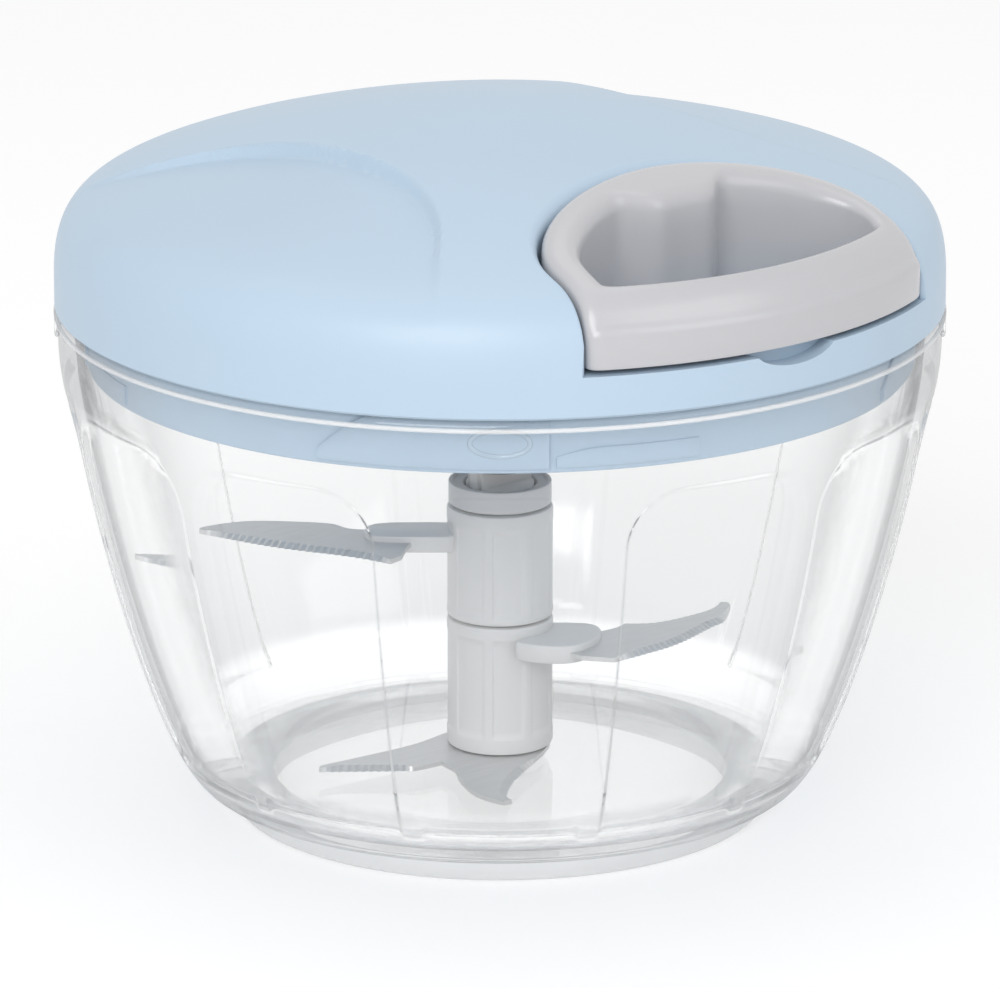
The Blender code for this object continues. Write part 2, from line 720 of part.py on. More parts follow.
def make_handle():
    low = LEDGE_Z + HANDLE_GAP
    r = HANDLE_ROUND
    rings = []
    for (u0, v0), (u1, v1) in zip(*handle_paths()):
        width = math.hypot(u1 - u0, v1 - v0)

        def at(share, z):
            return Vector((v0 + (v1 - v0) * share, -(u0 + (u1 - u0) * share), z))

        def top(share):
            u = u0 + (u1 - u0) * share
            v = v0 + (v1 - v0) * share
            return dome_height(min(math.hypot(u, v), LID_R - 1.2)) + HANDLE_PROUD

        edge = r / width
        rings.append([
            at(0.5 * edge, low), at(0, low + 0.5 * r),
            at(0, top(0.0) - 1.1 * r), at(0.3 * edge, top(0.3 * edge) - 0.35 * r),
            at(edge, top(edge)), at(1 - edge, top(1 - edge)),
            at(1 - 0.3 * edge, top(1) - 0.3 * r), at(1, top(1) - r),
            at(1, low + 0.5 * r), at(1 - 0.5 * edge, low),
        ])
    handle = loft("pull_handle", rings, HANDLE_GRAY, around=True)
    boss = []
    start = HANDLE_BACK_U + HANDLE_WALL - 1.5
    for step in range(13):
        angle = math.pi * (step / 12 - 0.5)
        boss.append(pull_point(start + (CORD_BOSS_REACH + 1.5) * math.cos(angle),
                               CORD_BOSS_HALF * math.sin(angle)))
    top = dome_height(HANDLE_BACK_U + HANDLE_WALL) + HANDLE_PROUD - CORD_BOSS_DROP
    add(handle, plate("cord_boss_helper", boss, low + 0.4, top, helper=True), "cord boss")
    hole = cross_rod("cord_hole_helper", CORD_R + 0.6, -HANDLE_BACK_U - 12,
                     -HANDLE_BACK_U + 2)
    cut(handle, hole, "cord hole")
    pocket = cross_rod("cord_pocket_helper", STOPPER_R + SEAT_GAP, -HANDLE_BACK_U - 12,
                       -HANDLE_BACK_U - 5.0)
    cut(handle, pocket, "stopper pocket")
    return handle


handle = make_handle()
cross_rod("cord_stopper", STOPPER_R, -HANDLE_BACK_U - HANDLE_WALL - CORD_BOSS_REACH + 0.4,
          -HANDLE_BACK_U - 5.0 - SEAT_GAP, CORD_WHITE, helper=False,
          neck=(CORD_R, -HANDLE_BACK_U - 0.3))
cross_rod("cord_eyelet", EYELET_R, -RECESS_BACK_R - 1.0, -RECESS_BACK_R + 3.6,
          PIN_STEEL, bore=CORD_R + 0.5, helper=False)


# Reel, post and recoil spring

GROOVE_Z = CORD_Z - REEL_GROOVE / 2
REEL_Z = GROOVE_Z - REEL_FLANGE_THICK
GROOVE_TOP_Z = GROOVE_Z + REEL_GROOVE
REEL_FACE_Z = GROOVE_TOP_Z + REEL_FLANGE_THICK
CUP_TOP_Z = REEL_FACE_Z + SPRING_CUP_HEIGHT
POST_TOP_Z = DOME_Z - LID_WALL - 0.3

reel = turned("reel_drum", [
    (POST_R + TURN_GAP, REEL_FACE_Z), (SPRING_CUP_R - SPRING_CUP_WALL, REEL_FACE_Z),
    (SPRING_CUP_R - SPRING_CUP_WALL, CUP_TOP_Z), (SPRING_CUP_R, CUP_TOP_Z),
    (SPRING_CUP_R, REEL_FACE_Z), (REEL_FLANGE_R, REEL_FACE_Z),
    (REEL_FLANGE_R, GROOVE_TOP_Z), (DRUM_R, GROOVE_TOP_Z), (DRUM_R, GROOVE_Z),
    (REEL_FLANGE_R, GROOVE_Z), (REEL_FLANGE_R, REEL_Z), (POST_R + TURN_GAP, REEL_Z),
], REEL_WHITE, steps=36)

CUP_Z = BUSH_TOP_Z + SEAT_GAP + 1.5 + SEAT_GAP
TEETH_TOP_Z = CUP_Z + CUP_HEIGHT
PAWL_Z = CUP_Z + CUP_FLOOR + SEAT_GAP
for number, turn in (("a", 0), ("b", 180)):
    place = turn_point(PAWL_PIVOT_R, turn, 0)
    pin = rod("pawl_pin_helper_" + number, PAWL_PIN_R, PAWL_Z, REEL_Z + 0.5,
              centre=place[:2], steps=16)
    add(reel, pin, "pawl pin")

turned("reel_post", [
    (0, POST_TOP_Z), (POST_R - 0.5, POST_TOP_Z), (POST_R - 0.03, POST_TOP_Z - 0.5),
    (POST_R - 0.03, REEL_Z - SEAT_GAP), (POST_R + 2.2, REEL_Z - SEAT_GAP),
    (POST_R + 2.2, REEL_Z - SEAT_GAP - 0.8), (0, REEL_Z - SEAT_GAP - 0.8),
], PIN_STEEL, closed=False)

turned("reel_cover", [
    (POST_R + TURN_GAP, CUP_TOP_Z + SEAT_GAP + 0.9), (SPRING_CUP_R, CUP_TOP_Z + SEAT_GAP + 0.9),
    (SPRING_CUP_R, CUP_TOP_Z + SEAT_GAP), (POST_R + TURN_GAP, CUP_TOP_Z + SEAT_GAP),
], REEL_WHITE)


def ribbon(name, path, half_width, low, high, surface, parent=None):
    """A thin upright band along a plan path, closed at both ends."""
    rings = []
    for index, point in enumerate(path):
        before = path[max(index - 1, 0)]
        after = path[min(index + 1, len(path) - 1)]
        along = Vector((after[0] - before[0], after[1] - before[1])).normalized()
        side = Vector((-along.y, along.x)) * half_width
        a = Vector(point) + side
        b = Vector(point) - side
        rings.append([(a.x, a.y, low), (b.x, b.y, low), (b.x, b.y, high), (a.x, a.y, high)])
    return loft(name, rings, surface, parent=parent)


spring_path = []
spring_in = POST_R + TURN_GAP + 0.8
spring_out = SPRING_CUP_R - SPRING_CUP_WALL - SPRING_THICK / 2 - SEAT_GAP
spring_steps = SPRING_TURNS * 14
for step in range(spring_steps + 1):
    share = step / spring_steps
    radius = spring_in + (spring_out - spring_in) * share
    spring_path.append(turn_point(radius, 360 * SPRING_TURNS * share, 0)[:2])
ribbon("recoil_spring", spring_path, SPRING_THICK / 2, REEL_FACE_Z + SEAT_GAP,
       CUP_TOP_Z - 0.2, PIN_STEEL)


def tube(name, points, radius, surface, resolution=2):
    """A cord: a round bevel along a poly spline, in millimetres."""
    curve = bpy.data.curves.new(name, "CURVE")
    curve.dimensions = "3D"
    curve.bevel_depth = radius * MM
    curve.bevel_resolution = resolution
    curve.use_fill_caps = True
    spline = curve.splines.new("POLY")
    spline.points.add(len(points) - 1)
    for knot, point in zip(spline.points, points):
        knot.co = (point[0] * MM, point[1] * MM, point[2] * MM, 1.0)
    curve.materials.append(surface)
    made = bpy.data.objects.new(name, curve)
    bpy.context.scene.collection.objects.link(made)
    return made


# The winding lies in one helix on the drum, and the lead leaves it along a tangent.
# The lead starts this far along, outside the ring that the turning winding sweeps.
LEAD_START = 8.3
WIND_R = DRUM_R + CORD_R + 0.4
EYELET_Y = -RECESS_BACK_R + 3.6
LEAD_TURN = -90 - math.degrees(math.acos(WIND_R / -EYELET_Y))
WIND_LOW = GROOVE_Z + CORD_R + 0.3
WIND_HIGH = CORD_Z + (GROOVE_TOP_Z - CORD_Z) - CORD_R - 0.3
wind_steps = int(18 * WINDING_TURNS)
winding = []
for step in range(wind_steps + 1):
    share = step / wind_steps
    turn = LEAD_TURN - 360 * WINDING_TURNS * (1 - share)
    winding.append(turn_point(WIND_R, turn, WIND_LOW + (WIND_HIGH - WIND_LOW) * share))
tube("pull_cord_winding", winding, CORD_R, CORD_WHITE, resolution=1)

lead_start = turn_point(WIND_R, LEAD_TURN, WIND_HIGH)
tangent = Vector((-math.sin(math.radians(LEAD_TURN)), math.cos(math.radians(LEAD_TURN)), 0))
lead_a = lead_start + tangent * LEAD_START
lead_d = Vector((0, EYELET_Y - 0.6, CORD_Z))
lead = bezier(lead_a, lead_a + tangent * 5, lead_d + Vector((0, 4.0, 0)), lead_d, 10)
lead.append((0, -HANDLE_BACK_U + 0.5, CORD_Z))
tube("pull_cord_lead", lead, CORD_R, CORD_WHITE, resolution=1)


# Ratchet, pawls and driver

STEP_TURN = 44.8


def ratchet_outline():
    """Saw teeth on the inside of the cup, whose steep faces are pushed anticlockwise."""
    outline = []
    pitch = 360 / TEETH
    for tooth in range(TEETH):
        start = STEP_TURN + pitch * tooth
        for share in (0.0, 0.33, 0.66, 0.98):
            radius = TOOTH_TIP_R + (TOOTH_ROOT_R - TOOTH_TIP_R) * share
            outline.append(turn_point(radius, start + pitch * share, 0)[:2])
    return outline


STUB_R = 3.6
cup = rod("ratchet_cup", TOOTH_ROOT_R + CUP_WALL, CUP_Z, TEETH_TOP_Z, steps=36, helper=False)
cup.data.materials.append(REEL_WHITE)
cut(cup, plate("tooth_helper", ratchet_outline(), CUP_Z + CUP_FLOOR, TEETH_TOP_Z + 1,
               helper=True), "teeth")
cut(cup, rod("cup_hole_helper", STUB_R + SEAT_GAP, CUP_Z - 1, CUP_Z + CUP_FLOOR + 1), "hub hole")

SPINDLE_FLANGE_Z = BUSH_TOP_Z + SEAT_GAP
spindle = turned("drive_spindle", [
    (0, CUP_Z + CUP_FLOOR - 0.1), (STUB_R, CUP_Z + CUP_FLOOR - 0.1),
    (STUB_R, CUP_Z - SEAT_GAP), (BUSH_OUTER_R + BUSH_FLANGE - 0.5, CUP_Z - SEAT_GAP),
    (BUSH_OUTER_R + BUSH_FLANGE - 0.5, SPINDLE_FLANGE_Z), (DRIVER_R, SPINDLE_FLANGE_Z),
    (DRIVER_R, DRIVER_Z + 0.9), (DRIVER_R - 0.9, DRIVER_Z), (0, DRIVER_Z),
], DRIVER_DARK, closed=False)
TONGUE_HALF = 1.5
socket = rod("socket_helper", SOCKET_R, DRIVER_Z - 1, DRIVER_Z + SOCKET_DEPTH)
for side in (1, -1):
    stop = plate("socket_stop_helper_" + ("a" if side > 0 else "b"), [
        (side * 2.6, side * (-TONGUE_HALF - SEAT_GAP)), (side * 7.0, side * (-TONGUE_HALF - SEAT_GAP)),
        (side * 7.0, side * -4.4), (side * 2.6, side * -4.4),
    ], DRIVER_Z - 2, DRIVER_Z + SOCKET_DEPTH + 1, helper=True)
    cut(socket, stop, "stop")
cut(spindle, socket, "socket")
cut(spindle, rod("drive_pilot_helper", LID_SCREW_R + SEAT_GAP, CUP_Z - 8, CUP_Z + 4, steps=16),
    "pilot hole")
HEAD_Z = CUP_Z + CUP_FLOOR + SEAT_GAP
turned("drive_screw", [
    (0, HEAD_Z + 1.5), (3.2, HEAD_Z + 1.5), (4.8, HEAD_Z + 0.6), (4.8, HEAD_Z),
    (LID_SCREW_R, HEAD_Z), (LID_SCREW_R, CUP_Z - 7), (0, CUP_Z - 7.4),
], PIN_STEEL, steps=20, closed=False)

PAWL_TIP_R = 18.9
PAWL_REACH = 38.0
for letter, turn in (("a", 0), ("b", 180)):
    axis_point = turn_point(PAWL_PIVOT_R, turn, 0)
    pivot = bpy.data.objects.new("pawl_pivot_" + letter, None)
    pivot.location = axis_point * MM
    bpy.context.scene.collection.objects.link(pivot)
    bpy.context.view_layer.update()
    tip = turn_point(PAWL_TIP_R, turn + PAWL_REACH, 0) - axis_point
    heel = turn_point(PAWL_TIP_R - 2.6, turn + PAWL_REACH + 1, 0) - axis_point
    along = math.atan2(tip.y, tip.x)
    boss_r = PAWL_PIN_R + 1.2
    outline = []
    for step in range(13):
        angle = along + math.radians(95 + 170 * step / 12)
        outline.append((axis_point.x + boss_r * math.cos(angle),
                        axis_point.y + boss_r * math.sin(angle)))
    outline.append((axis_point.x + tip.x, axis_point.y + tip.y))
    outline.append((axis_point.x + heel.x, axis_point.y + heel.y))
    pawl = plate("ratchet_pawl_" + letter, outline, PAWL_Z + SEAT_GAP,
                 PAWL_Z + SEAT_GAP + PAWL_THICK, PAWL_DARK, parent=pivot)
    cut(pawl, rod("pawl_hole_helper_" + letter, PAWL_PIN_R + 0.1, PAWL_Z - 1,
                  PAWL_Z + PAWL_THICK + 2, centre=axis_point[:2], steps=16), "pivot hole")


# Blade column

PIN_Z = FLOOR_Z + SEAT_GAP
COLLAR_Z = FLOOR_Z + 1.0
COLLAR_THICK = 0.4
LOWER_BLADE_Z = COLLAR_Z + COLLAR_THICK + BLADE_GAP
LOWER_SLEEVE_Z = LOWER_BLADE_Z + BLADE_THICK + BLADE_GAP

turned("pivot_pin", [
    (0, PIN_TOP_Z), (PIN_R * 0.6, PIN_TOP_Z - 0.2), (PIN_R, PIN_TOP_Z - 1.2),
    (PIN_R, PIN_Z + 0.4), (PIN_R + 2.5, PIN_Z + 0.4), (PIN_R + 2.5, PIN_Z), (0, PIN_Z),
], PIN_STEEL, steps=24, closed=False)

CORE_TOP_Z = CAP_TOP_Z - 0.3
core = turned("holder_core", [
    (PIN_R + TURN_GAP, PIN_TOP_Z + SEAT_GAP + 0.3), (0, PIN_TOP_Z + SEAT_GAP + 1.3),
    (0, CORE_TOP_Z), (CORE_R, CORE_TOP_Z), (CORE_R, COLLAR_Z + COLLAR_THICK),
    (COLLAR_R, COLLAR_Z + COLLAR_THICK), (COLLAR_R, COLLAR_Z), (PIN_R + TURN_GAP, COLLAR_Z),
], COLUMN_GRAY)
tongue = plate("tongue_helper", [
    (-4.9, -TONGUE_HALF), (4.9, -TONGUE_HALF), (4.9, TONGUE_HALF), (-4.9, TONGUE_HALF),
], CORE_TOP_Z - 1.0, DRIVER_Z + SOCKET_DEPTH - 0.6, helper=True)
add(core, tongue, "tongue")

CAP_Z = UPPER_SLEEVE_TOP_Z + SEAT_GAP
turned("holder_top_cap", [
    (CORE_R + SEAT_GAP, CAP_TOP_Z), (CAP_R - 0.7, CAP_TOP_Z), (CAP_R, CAP_TOP_Z - 0.7),
    (CAP_R, CAP_Z), (CORE_R + SEAT_GAP, CAP_Z),
], CAP_GRAY)


def local_plan(direction, points):
    """Turns (along, left) points of a blade into plan points."""
    angle = math.radians(direction)
    ahead = (math.cos(angle), math.sin(angle))
    return [(a * ahead[0] - b * ahead[1], a * ahead[1] + b * ahead[0]) for a, b in points]


def serrated(points):
    """A cutting edge with small teeth of even pitch along the given points."""
    lengths = [0.0]
    for one, two in zip(points, points[1:]):
        lengths.append(lengths[-1] + math.dist(one, two))
    count = int(lengths[-1] / SERRATION_PITCH) * 2
    made = []
    for step in range(count + 1):
        goal = lengths[-1] * step / count
        index = max(i for i, length in enumerate(lengths[:-1]) if length <= goal)
        share = (goal - lengths[index]) / (lengths[index + 1] - lengths[index])
        one = Vector(points[index])
        two = Vector(points[index + 1])
        place = one.lerp(two, share)
        if step % 2:
            along = (two - one).normalized()
            place += Vector((-along.y, along.x)) * SERRATION_DEPTH
        made.append(tuple(place))
    return made


def sleeve(name, low, high):
    return turned(name, [
        (CORE_R + SEAT_GAP, high), (SLEEVE_R - 0.4, high), (SLEEVE_R, high - 0.4),
        (SLEEVE_R, low + 0.4), (SLEEVE_R - 0.4, low), (CORE_R + SEAT_GAP, low),
    ], COLUMN_GRAY, steps=2 * SLEEVE_FACETS)


def with_arm(target, label, direction, outline, middle, half_height):
    """Adds a flat arm to a sleeve, clear of its bore, and slots it for a blade."""
    arm = plate(label + "_arm_helper", local_plan(direction, outline),
                middle - half_height, middle + half_height, helper=True)
    bore = rod(label + "_bore_helper", (CORE_R + SEAT_GAP + SLEEVE_R) / 2, middle - 5,
               middle + 5)
    cut(arm, bore, "bore")
    add(target, arm, "arm")
    slot = local_plan(direction, [(6.9, -20), (40, -20), (40, 20), (6.9, 20)])
    gap = BLADE_THICK / 2 + BLADE_GAP
    cut(target, plate(label + "_slot_helper", slot, middle - gap, middle + gap, helper=True),
        "blade slot")


LOWER_DIRECTION = -130.0
MIDDLE_DIRECTION = -40.0
UPPER_DIRECTION = 140.0

lower_sleeve = sleeve("holder_lower_sleeve", LOWER_SLEEVE_Z, LOWER_SLEEVE_TOP_Z)
with_arm(lower_sleeve, "middle", MIDDLE_DIRECTION, [
    (-2.0, -6.6), (1.9, -8.6), (6.1, -10.9), (10.9, -10.9), (13.7, -7.6), (15.2, -3.5),
    (14.6, -0.6), (12.8, 0.9), (6.2, 1.2), (-2.0, 0.0),
], MIDDLE_BLADE_Z, ARM_HALF_HEIGHT + 0.1)
upper_sleeve = sleeve("holder_upper_sleeve", LOWER_SLEEVE_TOP_Z + SEAT_GAP,
                      UPPER_SLEEVE_TOP_Z)
with_arm(upper_sleeve, "upper", UPPER_DIRECTION, [
    (0, -3.2), (17.5, -3.0), (19.6, -1.6), (20.2, 1.0), (19.2, 3.6), (17.0, 4.5), (0, 4.6),
], UPPER_BLADE_Z, ARM_HALF_HEIGHT)


def blade(name, direction, outline, middle):
    return plate(name, local_plan(direction, outline), middle - BLADE_THICK / 2,
                 middle + BLADE_THICK / 2, STEEL)


blade("upper_blade", UPPER_DIRECTION, [
    (8.2, -2.2), (21.0, -2.3), (25.0, -5.2), (31.0, -6.3), (36.8, -6.6), (41.5, -5.0),
    (44.2, -3.2),
] + serrated([(44.4, -2.3), (33.7, 4.5), (21.9, 9.6), (16.0, 13.1)]) + [
    (14.4, 11.0), (13.4, 5.6), (12.0, 3.6), (8.2, 3.4),
], UPPER_BLADE_Z)
blade("middle_blade", MIDDLE_DIRECTION, [
    (8.2, -8.6), (12.0, -12.2),
] + [point for point in serrated([(16.7, -13.2), (21.3, -9.5), (26.4, -4.4), (31.7, 4.0),
                                  (33.5, 6.6), (34.4, 12.5)])] + [
] + serrated([(32.9, 14.4), (29.2, 10.1), (24.1, 6.1), (18.6, 3.7)]) + [
    (17.2, 1.6), (14.0, -0.4), (8.2, -0.4),
], MIDDLE_BLADE_Z)

hub = 7.4
lower_points = []
for step in range(9):
    angle = math.radians(70 + 130 * step / 8)
    lower_points.append((hub * math.cos(angle), hub * math.sin(angle)))
lower = blade("lower_blade", LOWER_DIRECTION, lower_points + [
    (-5.6, -6.4), (1.5, -12.6), (7.0, -19.8), (11.6, -26.4),
] + serrated([(12.8, -26.6), (12.6, -19.0), (12.3, -12.6)]) + [
    (9.6, -8.6), (13.0, -6.6), (16.8, -6.0), (20.4, -5.0), (23.4, -3.8), (26.1, -1.7),
    (27.9, 0.6),
] + serrated([(27.1, 1.8), (23.4, 1.2), (17.7, 2.1), (13.9, 3.3), (8.0, 5.2)]) + [
    (5.2, 6.3),
], LOWER_BLADE_Z + BLADE_THICK / 2)
cut(lower, rod("lower_hole_helper", CORE_R + SEAT_GAP, LOWER_BLADE_Z - 2,
               LOWER_BLADE_Z + 4, steps=24), "hub hole")
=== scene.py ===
"""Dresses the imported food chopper: fine shapes, plastics and metals, floor, light and camera."""

import json
import math

import bmesh
import bpy
import numpy as np
from bpy.props import FloatProperty, FloatVectorProperty, IntProperty, PointerProperty
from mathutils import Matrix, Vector


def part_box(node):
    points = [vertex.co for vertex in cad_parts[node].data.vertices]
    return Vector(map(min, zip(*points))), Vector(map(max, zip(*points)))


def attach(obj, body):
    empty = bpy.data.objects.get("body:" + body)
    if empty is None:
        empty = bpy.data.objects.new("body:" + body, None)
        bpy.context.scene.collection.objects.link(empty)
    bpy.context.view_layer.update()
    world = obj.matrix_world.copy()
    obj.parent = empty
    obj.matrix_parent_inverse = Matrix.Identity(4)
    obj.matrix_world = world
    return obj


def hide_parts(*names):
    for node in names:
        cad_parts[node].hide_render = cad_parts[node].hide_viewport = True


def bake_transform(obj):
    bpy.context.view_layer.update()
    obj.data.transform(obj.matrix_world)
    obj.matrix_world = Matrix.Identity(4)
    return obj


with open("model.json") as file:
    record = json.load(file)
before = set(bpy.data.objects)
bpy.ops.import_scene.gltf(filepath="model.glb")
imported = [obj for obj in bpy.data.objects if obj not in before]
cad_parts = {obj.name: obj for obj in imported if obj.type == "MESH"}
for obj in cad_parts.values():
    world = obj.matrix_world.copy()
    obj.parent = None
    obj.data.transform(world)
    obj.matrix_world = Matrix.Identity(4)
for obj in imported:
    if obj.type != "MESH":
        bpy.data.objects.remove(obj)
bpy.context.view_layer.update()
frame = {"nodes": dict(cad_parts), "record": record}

bl_info = {
    "name": "Food chopper dresser",
    "version": (1, 0, 0),
    "blender": (4, 5, 0),
    "location": "3D View > Sidebar > Chopper",
    "description": "Builds the fine pieces of a pull-string food chopper round its CAD frame",
    "category": "Add Mesh",
}

MM = 0.001
BOWL_LOW, BOWL_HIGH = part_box("bowl")
COVER_LOW, COVER_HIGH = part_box("lid_cover")
SLOTS = {part["node"]: part["material_slot"] for part in frame["record"]["subparts"]}


class ChopperSizes(bpy.types.PropertyGroup):
    flutes: IntProperty(
        name="Flutes", description="Number of flat panels round the bowl", default=12, min=3)
    flute_depth: FloatProperty(
        name="Flute depth", description="How deep each panel lies under the ridges",
        default=0.0009, unit="LENGTH")
    bead: FloatProperty(
        name="Bead", description="Radius of the beads pressed round the bowl's rim",
        default=0.00035, unit="LENGTH")
    scoop_depth: FloatProperty(
        name="Scoop depth", description="How deep the lid's grip scoops lie",
        default=0.0019, unit="LENGTH")
    tooth_pitch: FloatProperty(
        name="Tooth pitch", description="Distance between two teeth of a blade",
        default=0.00115, unit="LENGTH")
    tooth_depth: FloatProperty(
        name="Tooth depth", description="How deep the teeth are cut",
        default=0.00045, unit="LENGTH")
    grind: FloatProperty(
        name="Grind", description="Width of the ground edge of a blade",
        default=0.0011, unit="LENGTH")
    screw_seed: IntProperty(
        name="Screw seed", description="Seed for the turn of each lid screw", default=4)
    view_turn: FloatProperty(
        name="View turn", description="Turn of the camera round the object, from -Y",
        default=math.radians(-40.0), subtype="ANGLE")
    view_pitch: FloatProperty(
        name="View pitch", description="How far the camera looks down",
        default=math.radians(16.625), subtype="ANGLE")
    view_distance: FloatProperty(
        name="View distance", description="Distance from the camera to its aim",
        default=1.2, unit="LENGTH")
    view_lens: FloatProperty(
        name="Lens", description="Focal length of the camera in millimetres", default=293.7)


class ChopperColours(bpy.types.PropertyGroup):
    lid: FloatVectorProperty(
        name="Lid", description="Colour of the lid", subtype="COLOR",
        default=(0.442, 0.561, 0.680))
    handle: FloatVectorProperty(
        name="Handle", description="Colour of the pull handle", subtype="COLOR",
        default=(0.485, 0.485, 0.505))
    column: FloatVectorProperty(
        name="Column", description="Colour of the blade column", subtype="COLOR",
        default=(0.74, 0.735, 0.73))
    steel: FloatVectorProperty(
        name="Steel", description="Colour of the blades", subtype="COLOR",
        default=(0.66, 0.66, 0.66))
    clear: FloatVectorProperty(
        name="Clear plastic", description="Tint of the bowl", subtype="COLOR",
        default=(0.985, 0.99, 0.992))
    floor: FloatVectorProperty(
        name="Floor", description="Colour of the floor", subtype="COLOR",
        default=(0.98, 0.98, 0.98))


def sizes():
    return bpy.context.scene.chopper_sizes


def colours():
    return bpy.context.scene.chopper_colours


# Shader maths as expressions

class Socket:
    """Wraps a socket, so that an expression adds its Math nodes."""

    def __init__(self, nodes, socket):
        self.nodes = nodes
        self.socket = socket

    def math(self, operation, first, second=None):
        values = {0: first} if second is None else {0: first, 1: second}
        return self.nodes.node("ShaderNodeMath", values, operation=operation)["Value"]

    def __add__(self, other):
        return self.math("ADD", self, other)

    def __radd__(self, other):
        return self.math("ADD", other, self)

    def __sub__(self, other):
        return self.math("SUBTRACT", self, other)

    def __rsub__(self, other):
        return self.math("SUBTRACT", other, self)

    def __mul__(self, other):
        return self.math("MULTIPLY", self, other)

    def __rmul__(self, other):
        return self.math("MULTIPLY", other, self)

    def __truediv__(self, other):
        return self.math("DIVIDE", self, other)

    def __rtruediv__(self, other):
        return self.math("DIVIDE", other, self)

    def __abs__(self):
        return self.math("ABSOLUTE", self)

    def maximum(self, other):
        return self.math("MAXIMUM", self, other)

    def minimum(self, other):
        return self.math("MINIMUM", self, other)

    def fraction(self):
        return self.math("FRACT", self)

    def root(self):
        return self.math("SQRT", self)

    def steps_up(self):
        """Smooth rise from 0 to 1."""
        share = self.maximum(0.0).minimum(1.0)
        return share * share * (3.0 - share * 2.0)


class Outputs:
    """The outputs of a node, by name."""

    def __init__(self, nodes, node):
        self.nodes = nodes
        self.made = node

    def __getitem__(self, name):
        return Socket(self.nodes, self.made.outputs[name])


class Nodes:
    """Makes the nodes of one tree."""

    def __init__(self, tree):
        self.tree = tree

    def node(self, kind, values=None, **settings):
        """A node of a kind: first its settings, then its sockets' values or links."""
        made = self.tree.nodes.new(kind)
        for name, value in settings.items():
            setattr(made, name, value)
        for key, value in (values or {}).items():
            if isinstance(value, Socket):
                self.tree.links.new(value.socket, made.inputs[key])
            else:
                made.inputs[key].default_value = value
        return Outputs(self, made)

    def place(self):
        return self.node("ShaderNodeTexCoord")["Object"]

    def noise(self, place, scale, detail):
        return self.node("ShaderNodeTexNoise",
                         {"Vector": place, "Scale": scale, "Detail": detail})["Fac"]

    def bump(self, height, strength, distance):
        return self.node("ShaderNodeBump", {"Height": height, "Strength": strength,
                                            "Distance": distance})["Normal"]

    def between(self, factor, dark, light):
        """A colour between two."""
        mixed = self.node("ShaderNodeMix", {"Factor": factor, 6: (*dark, 1.0),
                                            7: (*light, 1.0)}, data_type="RGBA")
        return Socket(self, mixed.made.outputs[2])

    def mix(self, factor, first, second):
        """A shader between two."""
        return self.node("ShaderNodeMixShader", {0: factor, 1: first, 2: second})["Shader"]

    def see_through(self, *tint):
        return self.node("ShaderNodeBsdfTransparent", {"Color": (*tint, 1.0)})["BSDF"]

    def position(self):
        where = self.node("GeometryNodeInputPosition")["Position"]
        return self.node("ShaderNodeSeparateXYZ", {"Vector": where})

    def attribute(self, name):
        return self.node("GeometryNodeInputNamedAttribute", {"Name": name},
                         data_type="FLOAT")["Attribute"]

    def upright(self, z):
        """A vector along Z."""
        return self.node("ShaderNodeCombineXYZ", {"Z": z})["Vector"]

    def vector(self, operation, first, second):
        return self.node("ShaderNodeVectorMath", {0: first, 1: second},
                         operation=operation)["Vector"]

    def scaled(self, vector, factor):
        return self.node("ShaderNodeVectorMath", {0: vector, "Scale": factor},
                         operation="SCALE")["Vector"]

    def moved(self, shape, offset, **values):
        return self.node("GeometryNodeSetPosition",
                         {"Geometry": shape, "Offset": offset, **values})["Geometry"]

    def turned(self, shape, **values):
        return self.node("GeometryNodeTransform", {"Geometry": shape, **values})["Geometry"]

    def spread(self, points, shape, rotation):
        return self.node("GeometryNodeInstanceOnPoints", {
            "Points": points, "Instance": shape, "Rotation": rotation})["Instances"]


def surface(name):
    """A new material and its node maker."""
    made = bpy.data.materials.new(name)
    made.use_nodes = True
    made.node_tree.nodes.clear()
    return made, Nodes(made.node_tree)


def close(nodes, shader, output="ShaderNodeOutputMaterial"):
    nodes.node(output, {"Surface": shader})


def shaded(colour, factor):
    return tuple(min(channel * factor, 1) for channel in colour)


def moulded(name, colour, roughness, coat=0.0):
    """Satin moulded plastic: faint flow mottle and a soft bump."""
    made, nodes = surface(name)
    place = nodes.place()
    flow = nodes.noise(place, 28.0, 3.0)
    fine = nodes.noise(place, 1100.0, 1.0)
    close(nodes, nodes.node("ShaderNodeBsdfPrincipled", {
        "Base Color": nodes.between(flow, shaded(colour, 0.97), shaded(colour, 1.018)),
        "Roughness": roughness + (flow - 0.5) * 0.08,
        "Normal": nodes.bump(fine, 0.012, 0.000012),
        "Coat Weight": coat, "Coat Roughness": 0.2, "IOR": 1.47})["BSDF"])
    return made


